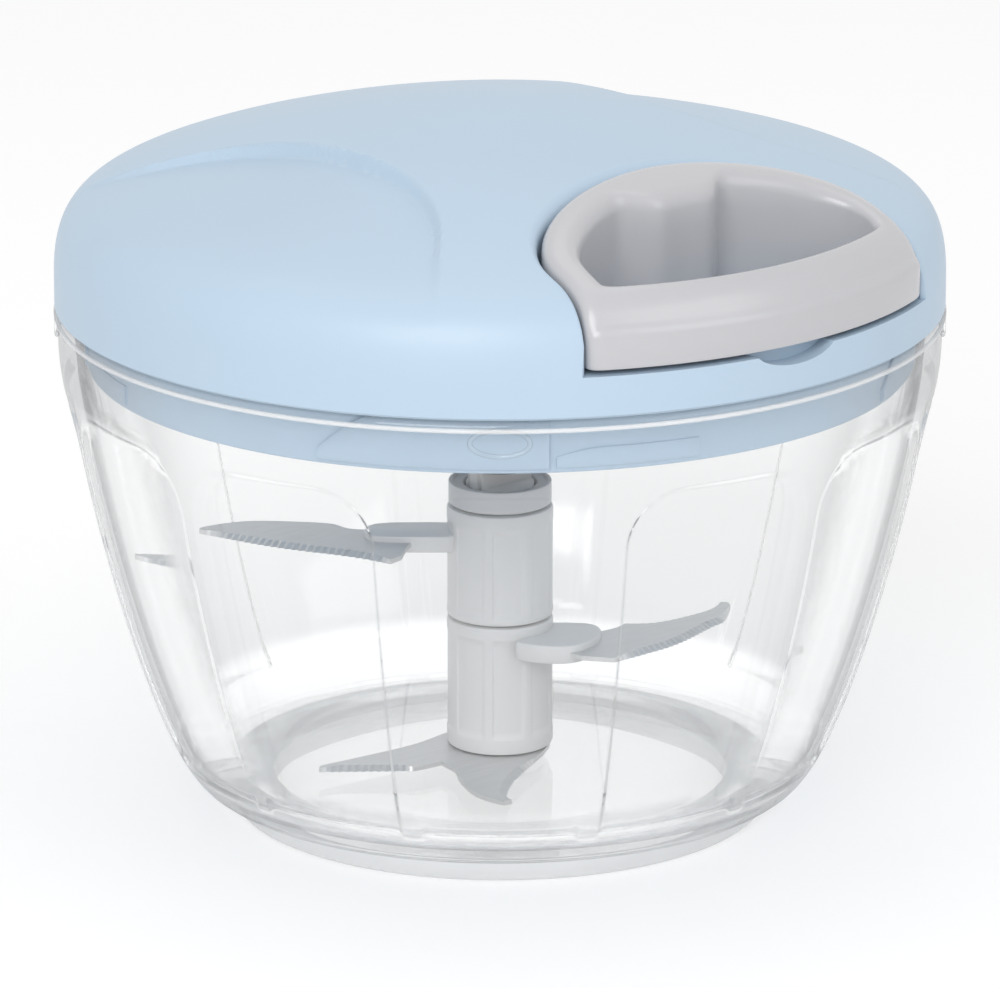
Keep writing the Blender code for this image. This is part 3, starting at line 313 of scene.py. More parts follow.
def clear_plastic(name, tint):
    """Clear moulded plastic: see-through, with painted grey shade towards its sides, bending light
    where it is steep.
    """
    made, nodes = surface(name)
    place = nodes.place()
    wave = nodes.noise(place, 22.0, 1.0)
    glass = nodes.node("ShaderNodeBsdfPrincipled", {
        "Base Color": (*tint, 1.0), "Roughness": 0.015 + wave * 0.02,
        "Transmission Weight": 1.0, "IOR": 1.2, "Normal": nodes.bump(wave, 0.06, 0.0006),
        "Coat Weight": 0.6, "Coat Roughness": 0.03, "Coat IOR": 1.45})["BSDF"]
    edge = nodes.node("ShaderNodeLayerWeight", {"Blend": 0.5})["Facing"]
    # Painted shade: the see-through tint turns grey towards grazing, standing in for the dark
    # lines that refraction gives at steep sides and ridges.
    thin_with_painted_shade = nodes.mix(((edge - 0.28) / 0.6).steps_up(),
                     nodes.see_through(0.985, 0.987, 0.988),
                     nodes.see_through(0.76, 0.765, 0.77))
    shine = nodes.node("ShaderNodeBsdfGlossy", {"Color": (1, 1, 1, 1), "Roughness": 0.06})
    thin_with_painted_shade = nodes.mix(0.03 + edge * edge * 0.2, thin_with_painted_shade, shine["BSDF"])
    grazing = ((edge - 0.66) / 0.2).steps_up()
    height = nodes.node("ShaderNodeSeparateXYZ", {"Vector": place})["Z"]
    bends = ((edge - 0.48) / 0.1).steps_up().maximum(((0.0135 - height) / 0.003).steps_up())
    bends = bends * ((RIM_Z * MM - 0.0095 - height) / 0.002).steps_up()
    whole = nodes.mix(bends * (1.0 - grazing) * 0.72, thin_with_painted_shade, glass)
    light = nodes.node("ShaderNodeLightPath")
    skip = light["Is Shadow Ray"].maximum(light["Is Diffuse Ray"])
    close(nodes, nodes.mix(skip, whole, nodes.see_through(0.94, 0.945, 0.95)))
    return made


def milky(name, colour):
    """Translucent white soft plastic."""
    made, nodes = surface(name)
    place = nodes.place()
    cloud = nodes.noise(place, 60.0, 2.0)
    body = nodes.node("ShaderNodeBsdfPrincipled", {
        "Base Color": (*colour, 1.0), "Roughness": 0.35 + cloud * 0.12, "IOR": 1.42})["BSDF"]
    close(nodes, nodes.mix(0.42 + cloud * 0.12, nodes.see_through(0.96, 0.96, 0.96), body))
    return made


def ground_steel(name, colour, roughness):
    """Stamped steel with a faint directional grind."""
    made, nodes = surface(name)
    place = nodes.place()
    streak = nodes.node("ShaderNodeMapping", {"Vector": place, "Scale": (140, 1900, 400)})
    lines = nodes.noise(streak["Vector"], 1.0, 3.0)
    close(nodes, nodes.node("ShaderNodeBsdfPrincipled", {
        "Base Color": nodes.between(lines, shaded(colour, 0.86), shaded(colour, 1.1)),
        "Metallic": 0.55, "Roughness": roughness + lines * 0.12,
        "Normal": nodes.bump(lines, 0.12, 0.00003)})["BSDF"])
    return made


def braid(name, colour):
    """Woven cord, as bands of strands."""
    made, nodes = surface(name)
    place = nodes.place()
    strands = nodes.node("ShaderNodeTexWave", {"Vector": place, "Scale": 900.0,
                                               "Distortion": 1.5})["Fac"]
    close(nodes, nodes.node("ShaderNodeBsdfPrincipled", {
        "Base Color": nodes.between(strands, shaded(colour, 0.7), colour),
        "Roughness": 0.8, "Normal": nodes.bump(strands, 0.5, 0.0002)})["BSDF"])
    return made


FINISHES = {}


def make_finishes():
    tint = colours()
    FINISHES.clear()
    FINISHES.update({
        "lid_light_blue": moulded("lid_satin", tuple(tint.lid), 0.42, coat=0.05),
        "handle_gray": moulded("handle_satin", tuple(tint.handle), 0.27, coat=0.4),
        "column_light_gray": moulded("column_satin", tuple(tint.column), 0.38),
        "cap_gray": moulded("cap_satin", (0.60, 0.60, 0.61), 0.4),
        "bowl_clear": clear_plastic("bowl_clear_plastic", tuple(tint.clear)),
        "foot_translucent_white": milky("foot_soft_white", (0.97, 0.975, 0.98)),
        "seal_silicone": milky("seal_soft", (0.80, 0.82, 0.84)),
        "blade_steel": ground_steel("blade_ground_steel", tuple(tint.steel), 0.34),
        "pin_steel": ground_steel("pin_turned_steel", (0.55, 0.55, 0.56), 0.25),
        # Painted shade: the driver is made near black because the grey coupling looks dark in the
        # shade under the lid.
        "driver_dark": moulded("driver_painted_shade_moulding", (0.10, 0.10, 0.11), 0.42),
        "reel_white": moulded("reel_moulding", (0.72, 0.72, 0.71), 0.4),
        "cord_white": braid("cord_braid", (0.75, 0.75, 0.74)),
        "pawl_black": moulded("pawl_moulding", (0.05, 0.05, 0.055), 0.38),
    })


# Mesh helpers: lengths in millimetres

CORD_Z = 88.5
CORD_R = 0.9


def placed(name, data):
    """A new object in the scene."""
    made = bpy.data.objects.new(name, data)
    bpy.context.scene.collection.objects.link(made)
    return made


def mesh_of(name, bm):
    mesh = bpy.data.meshes.new(name)
    bm.to_mesh(mesh)
    bm.free()
    return mesh


def work(name, bm):
    """A helper object of a bmesh in millimetres."""
    bmesh.ops.remove_doubles(bm, verts=bm.verts, dist=0.0005)
    bmesh.ops.recalc_face_normals(bm, faces=bm.faces)
    bmesh.ops.scale(bm, vec=(MM, MM, MM), verts=bm.verts)
    return placed(name + "_start", mesh_of(name, bm))


def settle(holder):
    """Turns a helper and its modifier into a plain mesh."""
    graph = bpy.context.evaluated_depsgraph_get()
    graph.update()
    mesh = bpy.data.meshes.new_from_object(holder.evaluated_get(graph))
    holder.modifiers.clear()
    holder.data = mesh
    if not mesh.polygons:
        raise RuntimeError(holder.name + " came out empty")
    return holder


def carve(target, tool, operation="DIFFERENCE"):
    """Cuts a helper from another one, or joins it, and drops the tool."""
    change = target.modifiers.new("carve", "BOOLEAN")
    change.operation = operation
    change.solver = "EXACT"
    change.object = tool
    settle(target)
    bpy.data.objects.remove(tool, do_unlink=True)

def keep(target, body, slot, sharp=40.0, replaces=()):
    """Turns a helper object into a finished piece."""
    mesh = target.data
    name = target.name.removesuffix("_start")
    bpy.data.objects.remove(target, do_unlink=True)
    mesh.name = name
    return own(name, mesh, body, slot, sharp, replaces)


def finish(name, bm, body, slot, sharp=40.0, replaces=()):
    return keep(work(name, bm), body, slot, sharp, replaces)


def own(name, mesh, body, slot, sharp=40.0, replaces=()):
    """Makes a finished piece of a mesh: smooth, with its finish, on its body."""
    mesh.shade_smooth()
    mesh.set_sharp_from_angle(angle=math.radians(sharp))
    mesh.materials.clear()
    mesh.materials.append(FINISHES[slot])
    made = placed(name, mesh)
    if body:
        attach(made, body)
    if replaces:
        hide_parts(*replaces)
    return made


def turn_point(radius, degrees, z):
    angle = math.radians(degrees)
    return (radius * math.cos(angle), radius * math.sin(angle), z)


def in_plan(direction, points):
    """Turns (along, left) points into plan points."""
    angle = math.radians(direction)
    c, s = math.cos(angle), math.sin(angle)
    return [(a * c - b * s, a * s + b * c) for a, b in points]


def quarter(last):
    """Sines and cosines of even steps from 0 to 90 degrees."""
    angles = [math.radians(90 * step / last) for step in range(last + 1)]
    return [(math.sin(angle), math.cos(angle)) for angle in angles]


def cord_ring(radius, y, count):
    """A ring of points round the line of the cord."""
    angles = [math.tau * step / count for step in range(count)]
    return [(radius * math.cos(angle), y, CORD_Z + radius * math.sin(angle))
            for angle in angles]

def bezier(p0, p1, p2, p3, count):
    points = []
    for step in range(count + 1):
        t = step / count
        weights = ((1 - t) ** 3, 3 * t * (1 - t) ** 2, 3 * t * t * (1 - t), t ** 3)
        points.append(tuple(sum(w * p[axis] for w, p in zip(weights, (p0, p1, p2, p3)))
                            for axis in range(len(p0))))
    return points


def spun(name, profile, body, slot, steps, replaces=()):
    """A piece turned from a closed (radius, z) profile."""
    bm = bmesh.new()
    points = [bm.verts.new((radius, 0, z)) for radius, z in profile]
    edges = [bm.edges.new(pair) for pair in zip(points, points[1:])]
    edges.append(bm.edges.new((points[-1], points[0])))
    bmesh.ops.spin(bm, geom=points + edges, axis=(0, 0, 1), cent=(0, 0, 0),
                   angle=math.tau, steps=steps, use_merge=True)
    return finish(name, bm, body, slot, replaces=replaces)


def rounded(profile, radius, steps):
    """Rounds the corners of a closed profile with small arcs."""
    made = []
    for index, point in enumerate(profile):
        here = Vector(point)
        before = Vector(profile[index - 1]) - here
        after = Vector(profile[(index + 1) % len(profile)]) - here
        cut = min(radius, before.length * 0.45, after.length * 0.45)
        start = here + before.normalized() * cut
        end = here + after.normalized() * cut
        for step in range(steps + 1):
            t = step / steps
            made.append(tuple(start * (1 - t) ** 2 + here * 2 * t * (1 - t) + end * t * t))
    return made


def rings_mesh(rings, around=False):
    """A bmesh of closed rings joined by quads, closed by caps or round to the first ring."""
    bm = bmesh.new()
    rows = [[bm.verts.new(point) for point in ring] for ring in rings]
    pairs = list(zip(rows, rows[1:]))
    if around:
        pairs.append((rows[-1], rows[0]))
    count = len(rows[0])
    for lower, upper in pairs:
        for index in range(count):
            after = (index + 1) % count
            bm.faces.new((lower[index], lower[after], upper[after], upper[index]))
    if not around:
        bm.faces.new(list(reversed(rows[0])))
        bm.faces.new(rows[-1])
    return bm


# Bowl

BASE_Z = BOWL_LOW.z / MM
RIM_Z = BOWL_HIGH.z / MM
BASE_R = 43.95
WALL = 2.4
RIM_WALL = 3.0
RIM_ROUND = 0.7
FLOOR_Z = BASE_Z + 1.8
FLOOR_CORNER = 7.0
HOLE_R = 4.0
FLUTE_TURN = 5.0
RIDGE_SHARE = 4.2


def bowl_curve():
    rim = (BOWL_HIGH.x / MM, RIM_Z)
    base = (BASE_R, BASE_Z)
    curve = bezier(rim, (rim[0] - 1.32, rim[1] - 22.58), (base[0] + 7.23, base[1] + 2.94),
                   base, 160)
    return np.array([(z, radius) for radius, z in reversed(curve)])


BOWL_CURVE = bowl_curve()


def bowl_radius(z):
    return np.interp(z, BOWL_CURVE[:, 0], BOWL_CURVE[:, 1])


def inner_radius(z):
    share = np.clip((z - (RIM_Z - 10)) / 10, 0, 1)
    return bowl_radius(z) - (WALL + share * (RIM_WALL - WALL))


def smooth(x):
    x = np.clip(x, 0, 1)
    return x * x * (3 - 2 * x)


def flute_tree():
    """Presses arched panels into the outer side of a bowl."""
    maker, start, end, ids = node_group("flutes", {
        "Flutes": 12, "Depth": 0.0009, "Turn": 0.0, "Ridge": 0.0015, "Arch height": 0.065,
        "Corner": 0.009, "Foot height": 0.009, "Step": 0.0015, "Finish": None})
    where = maker.position()
    x, y, z = where["X"], where["Y"], where["Z"]
    radius = (x * x + y * y).root()
    panel = math.tau / start["Flutes"]
    share = ((x.math("ARCTAN2", y, x) - start["Turn"]) / panel + 100.0).fraction()
    side = (panel * 0.5 - abs(share - 0.5) * panel) * radius - start["Ridge"]
    corner = start["Corner"]
    across = (corner - side).maximum(0.0)
    above = (corner - start["Arch height"] + z).maximum(0.0)
    inside = corner - (across * across + above * above).root()
    inside = inside.minimum((z - start["Foot height"]) * 0.8)
    depth = ((inside + 0.00035) / start["Step"]).steps_up() * start["Depth"]
    shrink = depth * maker.attribute("outer") / radius * -1.0
    move = maker.node("ShaderNodeCombineXYZ", {"X": x * shrink, "Y": y * shrink})["Vector"]
    close_tree(maker, start, end, maker.moved(start["Geometry"], move))
    return maker.tree, ids


def close_tree(maker, start, end, shape):
    real = maker.node("GeometryNodeRealizeInstances", {"Geometry": shape})
    dressed = maker.node("GeometryNodeSetMaterial",
                         {"Geometry": real["Geometry"], "Material": start["Finish"]})
    maker.tree.links.new(dressed["Geometry"].socket, end.inputs["Geometry"])


def bowl_profile():
    """The bowl's closed (radius, z) profile: rim, outer wall, foot, floor and inner wall."""
    outer_z = np.concatenate([
        RIM_Z - np.array([0.9, 1.3, 1.5, 1.7, 2.1, 3.2, 4.6, 6.2, 7.8]),
        np.linspace(RIM_Z - 9.5, 52.0, 34)[:-1], np.linspace(52.0, 12.0, 24)[:-1],
        np.linspace(12.0, BASE_Z + 1.0, 14)])
    lip = 0.28 * smooth((RIM_Z - 0.75 - outer_z) / 0.3)
    lip = lip * (1 - smooth((RIM_Z - 3.2 - outer_z) / 5.0))
    rim_r = bowl_radius(RIM_Z)
    profile = [(rim_r - RIM_ROUND + RIM_ROUND * sine, RIM_Z - RIM_ROUND + RIM_ROUND * cosine)
               for sine, cosine in quarter(4)]
    profile += list(zip(bowl_radius(outer_z) - lip, outer_z))
    profile += [(BASE_R - 0.2 + 0.9 * cosine, BASE_Z + 1.0 - 1.0 * sine)
                for sine, cosine in quarter(4)[1:]]
    profile += [(40.6, BASE_Z), (39.5, BASE_Z), (33.9, BASE_Z), (32.9, BASE_Z + 0.35),
                (20.0, BASE_Z + 0.35), (HOLE_R, BASE_Z + 0.35), (HOLE_R, FLOOR_Z),
                (20.0, FLOOR_Z), (30.7, FLOOR_Z)]
    corner_r = float(inner_radius(FLOOR_Z + FLOOR_CORNER))
    profile += [(corner_r - 9.5 * (1 - sine), FLOOR_Z + FLOOR_CORNER * (1 - cosine))
                for sine, cosine in quarter(8)]
    inner_z = [*np.linspace(16, RIM_Z - 10, 22), *np.linspace(RIM_Z - 8, RIM_Z - 0.8, 4)]
    profile += [(float(inner_radius(z)), z) for z in inner_z]
    rim_inner = float(inner_radius(RIM_Z))
    return profile + [(rim_inner + 0.15, RIM_Z - 0.25), (rim_inner + 0.6, RIM_Z)]


def make_bowl():
    flutes = sizes().flutes
    panel = 360 / flutes
    half = panel / 2
    edge = np.linspace(half - RIDGE_SHARE, half, 15)
    middle = np.linspace(-(half - RIDGE_SHARE), half - RIDGE_SHARE, 13)
    offsets = np.concatenate([-edge[::-1], middle[1:-1], edge[:-1]])
    profile = bowl_profile()
    rows = len(profile)
    hole = [radius for radius, z in profile].index(HOLE_R)
    bm = bmesh.new()
    grid = [[bm.verts.new(turn_point(radius, FLUTE_TURN + panel * (number + 0.5) + offset, z))
             for radius, z in profile] for number in range(flutes) for offset in offsets]
    for index, here in enumerate(grid):
        after = grid[(index + 1) % len(grid)]
        for row in range(rows):
            below = (row + 1) % rows
            if row != hole:
                bm.faces.new((here[row], after[row], after[below], here[below]))
    bm.faces.new([column[hole] for column in grid])
    bm.faces.new([column[hole + 1] for column in reversed(grid)])
    shell = work("clear_bowl", bm)
    points = np.empty(len(shell.data.vertices) * 3)
    shell.data.vertices.foreach_get("co", points)
    points = points.reshape(-1, 3) / MM
    radius = np.hypot(points[:, 0], points[:, 1])
    outer = np.where(radius > bowl_radius(points[:, 2]) - 0.5, 1.0, 0.0)
    outer[(radius < 38) | (points[:, 2] < BASE_Z + 1.1)] = 0.0
    mark_points(shell.data, "outer", outer)
    tree, ids = flute_tree()
    grow(shell, tree, ids, {
        "Flutes": flutes, "Depth": sizes().flute_depth, "Turn": math.radians(FLUTE_TURN),
        "Ridge": 0.0014, "Arch height": (RIM_Z - 11.0) * MM, "Corner": 0.009,
        "Foot height": 0.009, "Step": 0.0015, "Finish": FINISHES["bowl_clear"]})
    keep(shell, "bowl", "bowl_clear", 50.0, ("bowl",))


def mark_points(mesh, name, values):
    """Gives each point of a mesh a number that a geometry tree reads."""
    mark = mesh.attributes.new(name, "FLOAT", "POINT")
    mark.data.foreach_set("value", np.array(values, np.float32))


INPUT_KINDS = {int: "NodeSocketInt", float: "NodeSocketFloat",
               type(None): "NodeSocketMaterial"}


def node_group(name, inputs):
    """A geometry tree with named inputs; returns its maker, its ends and its inputs' ids."""
    tree = bpy.data.node_groups.new(name, "GeometryNodeTree")
    sockets = tree.interface
    sockets.new_socket("Geometry", in_out="INPUT", socket_type="NodeSocketGeometry")
    ids = {}
    for label, value in inputs.items():
        item = sockets.new_socket(label, in_out="INPUT", socket_type=INPUT_KINDS[type(value)])
        if value is not None:
            item.default_value = value
        ids[label] = item.identifier
    sockets.new_socket("Geometry", in_out="OUTPUT", socket_type="NodeSocketGeometry")
    maker = Nodes(tree)
    start = Outputs(maker, tree.nodes.new("NodeGroupInput"))
    return maker, start, tree.nodes.new("NodeGroupOutput"), ids


def grow(holder, tree, ids, values):
    """Runs a geometry tree on a helper and keeps the result as its plain mesh."""
    change = holder.modifiers.new("make", "NODES")
    change.node_group = tree
    for label, value in values.items():
        change[ids[label]] = value
    return settle(holder)


def make_lug_rings():
    """Oval beads pressed round the lugs, repeated round the rim."""
    maker, start, end, ids = node_group("oval_beads", {
        "Count": 4, "Ring radius": 0.065, "Height": 0.073, "Turn": 0.0, "Bead": 0.0003,
        "Finish": None})
    circle = maker.node("GeometryNodeCurvePrimitiveCircle", {"Resolution": 48, "Radius": 1.0})
    bead = maker.node("GeometryNodeCurvePrimitiveCircle", {
        "Resolution": 10, "Radius": start["Bead"]})
    tube = maker.node("GeometryNodeCurveToMesh", {
        "Curve": maker.turned(circle["Curve"], Scale=(0.0042, 0.0019, 1.0)),
        "Profile Curve": bead["Curve"]})
    oval = maker.turned(tube["Mesh"], Rotation=(math.radians(90), 0.0, math.radians(90)))
    ring = maker.node("GeometryNodeMeshCircle", {
        "Vertices": start["Count"], "Radius": start["Ring radius"]})
    points = maker.turned(ring["Mesh"], Translation=maker.upright(start["Height"]),
                          Rotation=maker.upright(start["Turn"]))
    where = maker.position()
    turn = where["Y"].math("ARCTAN2", where["Y"], where["X"])
    close_tree(maker, start, end, maker.spread(points, oval, maker.upright(turn)))
    z = RIM_Z - 3.0
    beads = placed("rim_lug_beads_start", bpy.data.meshes.new("rim_lug_beads"))
    grow(beads, maker.tree, ids, {
        "Count": 4, "Ring radius": (float(bowl_radius(z)) - 0.3) * MM, "Height": z * MM,
        "Turn": math.radians(-130.0), "Bead": sizes().bead, "Finish": FINISHES["bowl_clear"]})
    keep(beads, "bowl", "bowl_clear")


def make_rim_painted_highlight():
    """A white bead under the lid's edge, painted as the highlight of the clear rim's lip."""
    z = RIM_Z - 1.25
    bead = sizes().bead / MM
    radius = float(bowl_radius(z)) - bead - 0.02
    lip = [(radius + bead * math.cos(math.tau * k / 12), z + bead * math.sin(math.tau * k / 12))
           for k in range(12)]
    # Painted highlight: the ring takes the milky white finish so that it reads as the rim's bright
    # line.
    spun("rim_painted_highlight", lip, "bowl", "foot_translucent_white", 240)


# Lid

LID_Z = COVER_LOW.z / MM
DOME_Z = COVER_HIGH.z / MM
LID_R = COVER_HIGH.x / MM


def lid_curve(count=60):
    slope = -0.346
    length = math.hypot(1, slope)
    along = (1 / length, slope / length)
    corner = (LID_R - 12.9, DOME_Z - 9.6)
    dome = bezier((0, DOME_Z), (corner[0] * 0.34, DOME_Z),
                  (corner[0] - 8.5 * along[0], corner[1] - 8.5 * along[1]), corner, count)
    side = bezier(corner, (corner[0] + 9.185 * along[0], corner[1] + 9.185 * along[1]),
                  (LID_R, DOME_Z - 14.2), (LID_R, DOME_Z - 24.5), count)
    return np.array(dome + side[1:])


LID_CURVE = lid_curve()


def dome_height(radius):
    return np.interp(radius, LID_CURVE[:, 0], LID_CURVE[:, 1])


def outline_distance(outline, x, y):
    """Signed distance to a closed plan outline, positive inside."""
    px = np.array([p[0] for p in outline])
    py = np.array([p[1] for p in outline])
    qx, qy = np.roll(px, -1), np.roll(py, -1)
    best = np.full(x.shape, 1e9)
    inside = np.zeros(x.shape, bool)
    for ax, ay, bx, by in zip(px, py, qx, qy):
        dx, dy = bx - ax, by - ay
        t = np.clip(((x - ax) * dx + (y - ay) * dy) / (dx * dx + dy * dy + 1e-12), 0, 1)
        best = np.minimum(best, np.hypot(x - ax - t * dx, y - ay - t * dy))
        crosses = (ay > y) != (by > y)
        with np.errstate(divide="ignore", invalid="ignore"):
            at = ax + (y - ay) * dx / (dy if dy else 1e-12)
        inside ^= crosses & (x < at)
    return np.where(inside, best, -best)


def fan(half, centre):
    """A closed outline from (out, side) points of one half, mirrored about its axis."""
    return in_plan(centre, half + [(u, -v) for u, v in reversed(half[1:])])


def left_of(points):
    """Unit vectors to the left of a closed plan path."""
    ahead = np.roll(points, -1, 0) - np.roll(points, 1, 0)
    side = np.stack([-ahead[:, 1], ahead[:, 0]], 1)
    return side / np.linalg.norm(side, axis=1)[:, None]


def recess_half():
    curve = bezier((27.0, 0), (27.0, 14.5), (35.5, 29.6), (46.5, 30.1), 40)
    curve += bezier((46.5, 30.1), (50.0, 30.2), (53.3, 30.5), (56.35, 32.4), 14)[1:]
    return curve + [(62.4, 35.9), (76.0, 35.9)]


def scoop_half():
    curve = bezier((26.4, 0), (26.4, 17.0), (31.5, 25.5), (38.5, 32.5), 16)
    return curve + [(46.0, 41.0), (66.0, 62.0)]


LEDGE_Z = 82.3


def scooped(x, y, z):
    """The dome's height z lowered by the two grip scoops."""
    radius = np.hypot(x, y)
    for centre in (180.0, 0.0):
        inside = outline_distance(fan(scoop_half(), centre), x, y)
        fade = np.clip((LID_R - 1.5 - radius) / 30.0, 0, 1) ** 0.8
        z = z - sizes().scoop_depth / MM * fade * smooth((inside + 0.3) / 1.2)
    return z


def recess_tool():
    """The recess round the handle: floor, wall close to it, and a soft roll above."""
    outline = np.array(fan(recess_half(), -90.0))
    side = left_of(outline)
    centre = np.array([0.0, -50.0])
    side *= np.sign(((centre - outline) * side).sum(1))[:, None]
    handle = np.array([(v, -u) for u, v in handle_paths(4)[0]])
    gap = np.min(np.linalg.norm(outline[:, None, :] - handle[None, :, :], axis=2), axis=1)
    width = np.clip(gap - 0.6, 0.0, 3.4)
    width[outline[:, 1] < -56] = 0.0
    wall = outline + side * width[:, None]
    outer = outline - side * 0.45
    low = dome_height(np.minimum(np.hypot(*wall.T), LID_R - 0.2)) - 0.5 - 0.55 * width
    high = dome_height(np.minimum(np.hypot(*outer.T), LID_R - 0.2)) + 0.05
    rings = [[(x, y, LEDGE_Z) for x, y in wall]]
    for sine, cosine in quarter(7):
        flat = wall + (outer - wall) * (1 - cosine)
        height = low + (high - low) * sine
        rings.append([(x, y, z) for (x, y), z in zip(flat, height)])
    away = outer - side * 0.5
    rings.append([(x, y, z + 0.5) for (x, y), z in zip(away, high)])
    rings.append([(x, y, DOME_Z + 6) for x, y in away])
    return work("recess", rings_mesh(rings))


def polar_row(radius, angle, height):
    """A ring of points of one radius, each at the height of its place."""
    x, y = radius * np.cos(angle), radius * np.sin(angle)
    return list(zip(x, y, height(x, y)))


def make_cover():
    turns = np.arange(0, 360, 0.75)
    radii = np.concatenate([[0.5, 4, 9, 15, 21], np.arange(24.5, 46, 0.45),
                            np.linspace(46.6, 60, 16)])
    side = LID_CURVE[LID_CURVE[:, 0] > 60.2]
    levels = list(zip(radii, dome_height(radii))) + [tuple(point) for point in side[::2]]
    if levels[-1][1] > DOME_Z - 24.4:
        levels.append((LID_R, DOME_Z - 24.5))
    angle = np.radians(turns)
    rows = [polar_row(radius, angle, lambda x, y: scooped(x, y, np.full_like(x, height)))
            for radius, height in levels]
    under = [(LID_R, LID_Z + 0.35), (LID_R - 0.35, LID_Z), (LID_R - 1.6, LID_Z),
             (LID_R - 1.6, LID_Z + 3.2), (LID_R - 3.2, LID_Z + 3.2),
             (LID_R - 3.2, LID_Z + 3.4)]
    for radius, height in under:
        rows.append([turn_point(radius, turn, height) for turn in turns])
    outline = fan(recess_half(), -90.0)
    for radius in (61.0, 58.0, 54.0, 50.0, 46.0, 42.0, 38.0, 34.0, 31.0, 28.0, 25.0, 22.0,
                   18.0, 12.0, 0.5):
        ceiling = dome_height(radius) - 3.0

        def inner_side(x, y):
            near = smooth((outline_distance(outline, x, y) + 5.0) / 2.0)
            return ceiling * (1 - near) + (LEDGE_Z - 2.0) * near

        rows.append(polar_row(radius, angle, inner_side))
    cover = work("lid_shell", rings_mesh(rows))
    carve(cover, recess_tool())
    notch = []
    for step in range(25):
        swing = math.pi * step / 24
        notch.append((-7.5 * math.cos(swing), LEDGE_Z + 1 - 2.9 * math.sin(swing)))
    rings = [[(x, y, z) for x, z in notch] for y in (-LID_R - 4, -LID_R + 3.2)]
    carve(cover, work("finger_notch", rings_mesh(rings)))
    keep(cover, "lid", "lid_light_blue", 35.0, ("lid_cover",))
    eyelet = [(1.4, -27.5), (2.6, -27.5), (2.6, -30.3), (2.3, -30.6), (1.6, -30.6),
              (1.4, -30.4)]
    rings = [cord_ring(radius, y, 48) for radius, y in eyelet]
    finish("cord_bush", rings_mesh(rings, around=True), "lid", "pin_steel", 35.0,
           ("cord_eyelet",))


SKIRT_R = float(inner_radius(RIM_Z)) - 1.95
SKIRT_Z = RIM_Z - 8.7


def make_base():
    flange_z = LID_Z + 1.6
    inner = SKIRT_R - 2.0
    flange_r = LID_R - 1.9
    hole = 10.0
    plate = SKIRT_Z + 1.7
    profile = [(hole, plate + 2), (inner, plate + 2), (inner, flange_z + 1.3),
               (flange_r, flange_z + 1.3), (flange_r, flange_z), (SKIRT_R, flange_z),
               (SKIRT_R, SKIRT_Z), (inner, SKIRT_Z), (inner, plate), (hole, plate)]
    spun("lid_plug", rounded(profile, 0.35, 3), "lid", "lid_light_blue", 200,
         replaces=("lid_base",))
    for number in range(4):
        turn = -130.0 + 90 * number
        skirt_relief("bayonet_pad_%d" % (number + 1), turn, -25.0, 6.5, 0.5,
                     RIM_Z - 0.4, 6.0)
        skirt_relief("bayonet_shelf_%d" % (number + 1), turn, 7.5, 27.5, 0.3,
                     RIM_Z - 5.2, 1.2)


def screw_tree():
    """Sets one screw at each of four places, two to a side, each turned by chance."""
    maker, start, end, ids = node_group("lid_screws", {
        "Circle radius": 0.048, "Spread": 0.52, "Height": 0.07, "Seed": 4, "Finish": None})
    number = maker.node("GeometryNodeInputIndex")["Index"]
    half = number.math("FLOOR", (number + 1.0) * 0.5)
    side = 1.0 - 2.0 * number.math("FLOORED_MODULO", number, 2.0)
    turn = half * math.pi + side * start["Spread"]
    place = maker.node("ShaderNodeCombineXYZ", {
        "X": turn.math("COSINE", turn) * start["Circle radius"],
        "Y": turn.math("SINE", turn) * start["Circle radius"], "Z": start["Height"]})
    points = maker.node("GeometryNodePoints", {"Count": 4, "Position": place["Vector"]})
    chance = maker.node("FunctionNodeRandomValue", {"Seed": start["Seed"]},
                        data_type="FLOAT").made
    chance.inputs[3].default_value = math.pi / 2
    aim = maker.upright(Socket(maker, chance.outputs[1]))
    close_tree(maker, start, end, maker.spread(points["Points"], start["Geometry"], aim))
    return maker.tree, ids


def make_screws():
    low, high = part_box("lid_screw_1")
    centre = (low + high) / 2
    tall = (high.z - low.z) / MM
    profile = [(0.01, tall), (0.5, tall - 0.3), (1.25, tall - 1.4)]
    for step in range(int((tall - 3.4) / 0.45)):
        profile.append((1.6 if step % 2 else 1.3, tall - 1.8 - 0.45 * step))
    profile += [(1.6, 1.5), (1.6, 1.4), (3.05, 1.4), (3.2, 1.25), (3.2, 0.7), (2.9, 0.28),
                (2.2, 0.06), (1.4, 0.0), (0.01, 0.0)]
    screw = work("lid_cross_screws", rings_mesh(
        [[turn_point(radius, 10 * step, z) for step in range(36)] for radius, z in profile]))
    for turn in (0, 90):
        rings = []
        for z, length, half in ((-0.4, 1.75, 0.42), (0.0, 1.7, 0.4), (0.95, 0.7, 0.3)):
            flat = in_plan(turn, [(-length, -half), (length, -half), (length, half),
                                  (-length, half)])
            rings.append([(x, y, z) for x, y in flat])
        carve(screw, work("cross", rings_mesh(rings)))
    tree, ids = screw_tree()
    grow(screw, tree, ids, {
        "Circle radius": math.hypot(centre.x, centre.y),
        "Spread": math.atan2(abs(centre.y), abs(centre.x)), "Height": low.z,
        "Seed": sizes().screw_seed, "Finish": FINISHES["pin_steel"]})
    keep(screw, "lid", "pin_steel", 32.0,
         ("lid_screw_1", "lid_screw_2", "lid_screw_3", "lid_screw_4"))


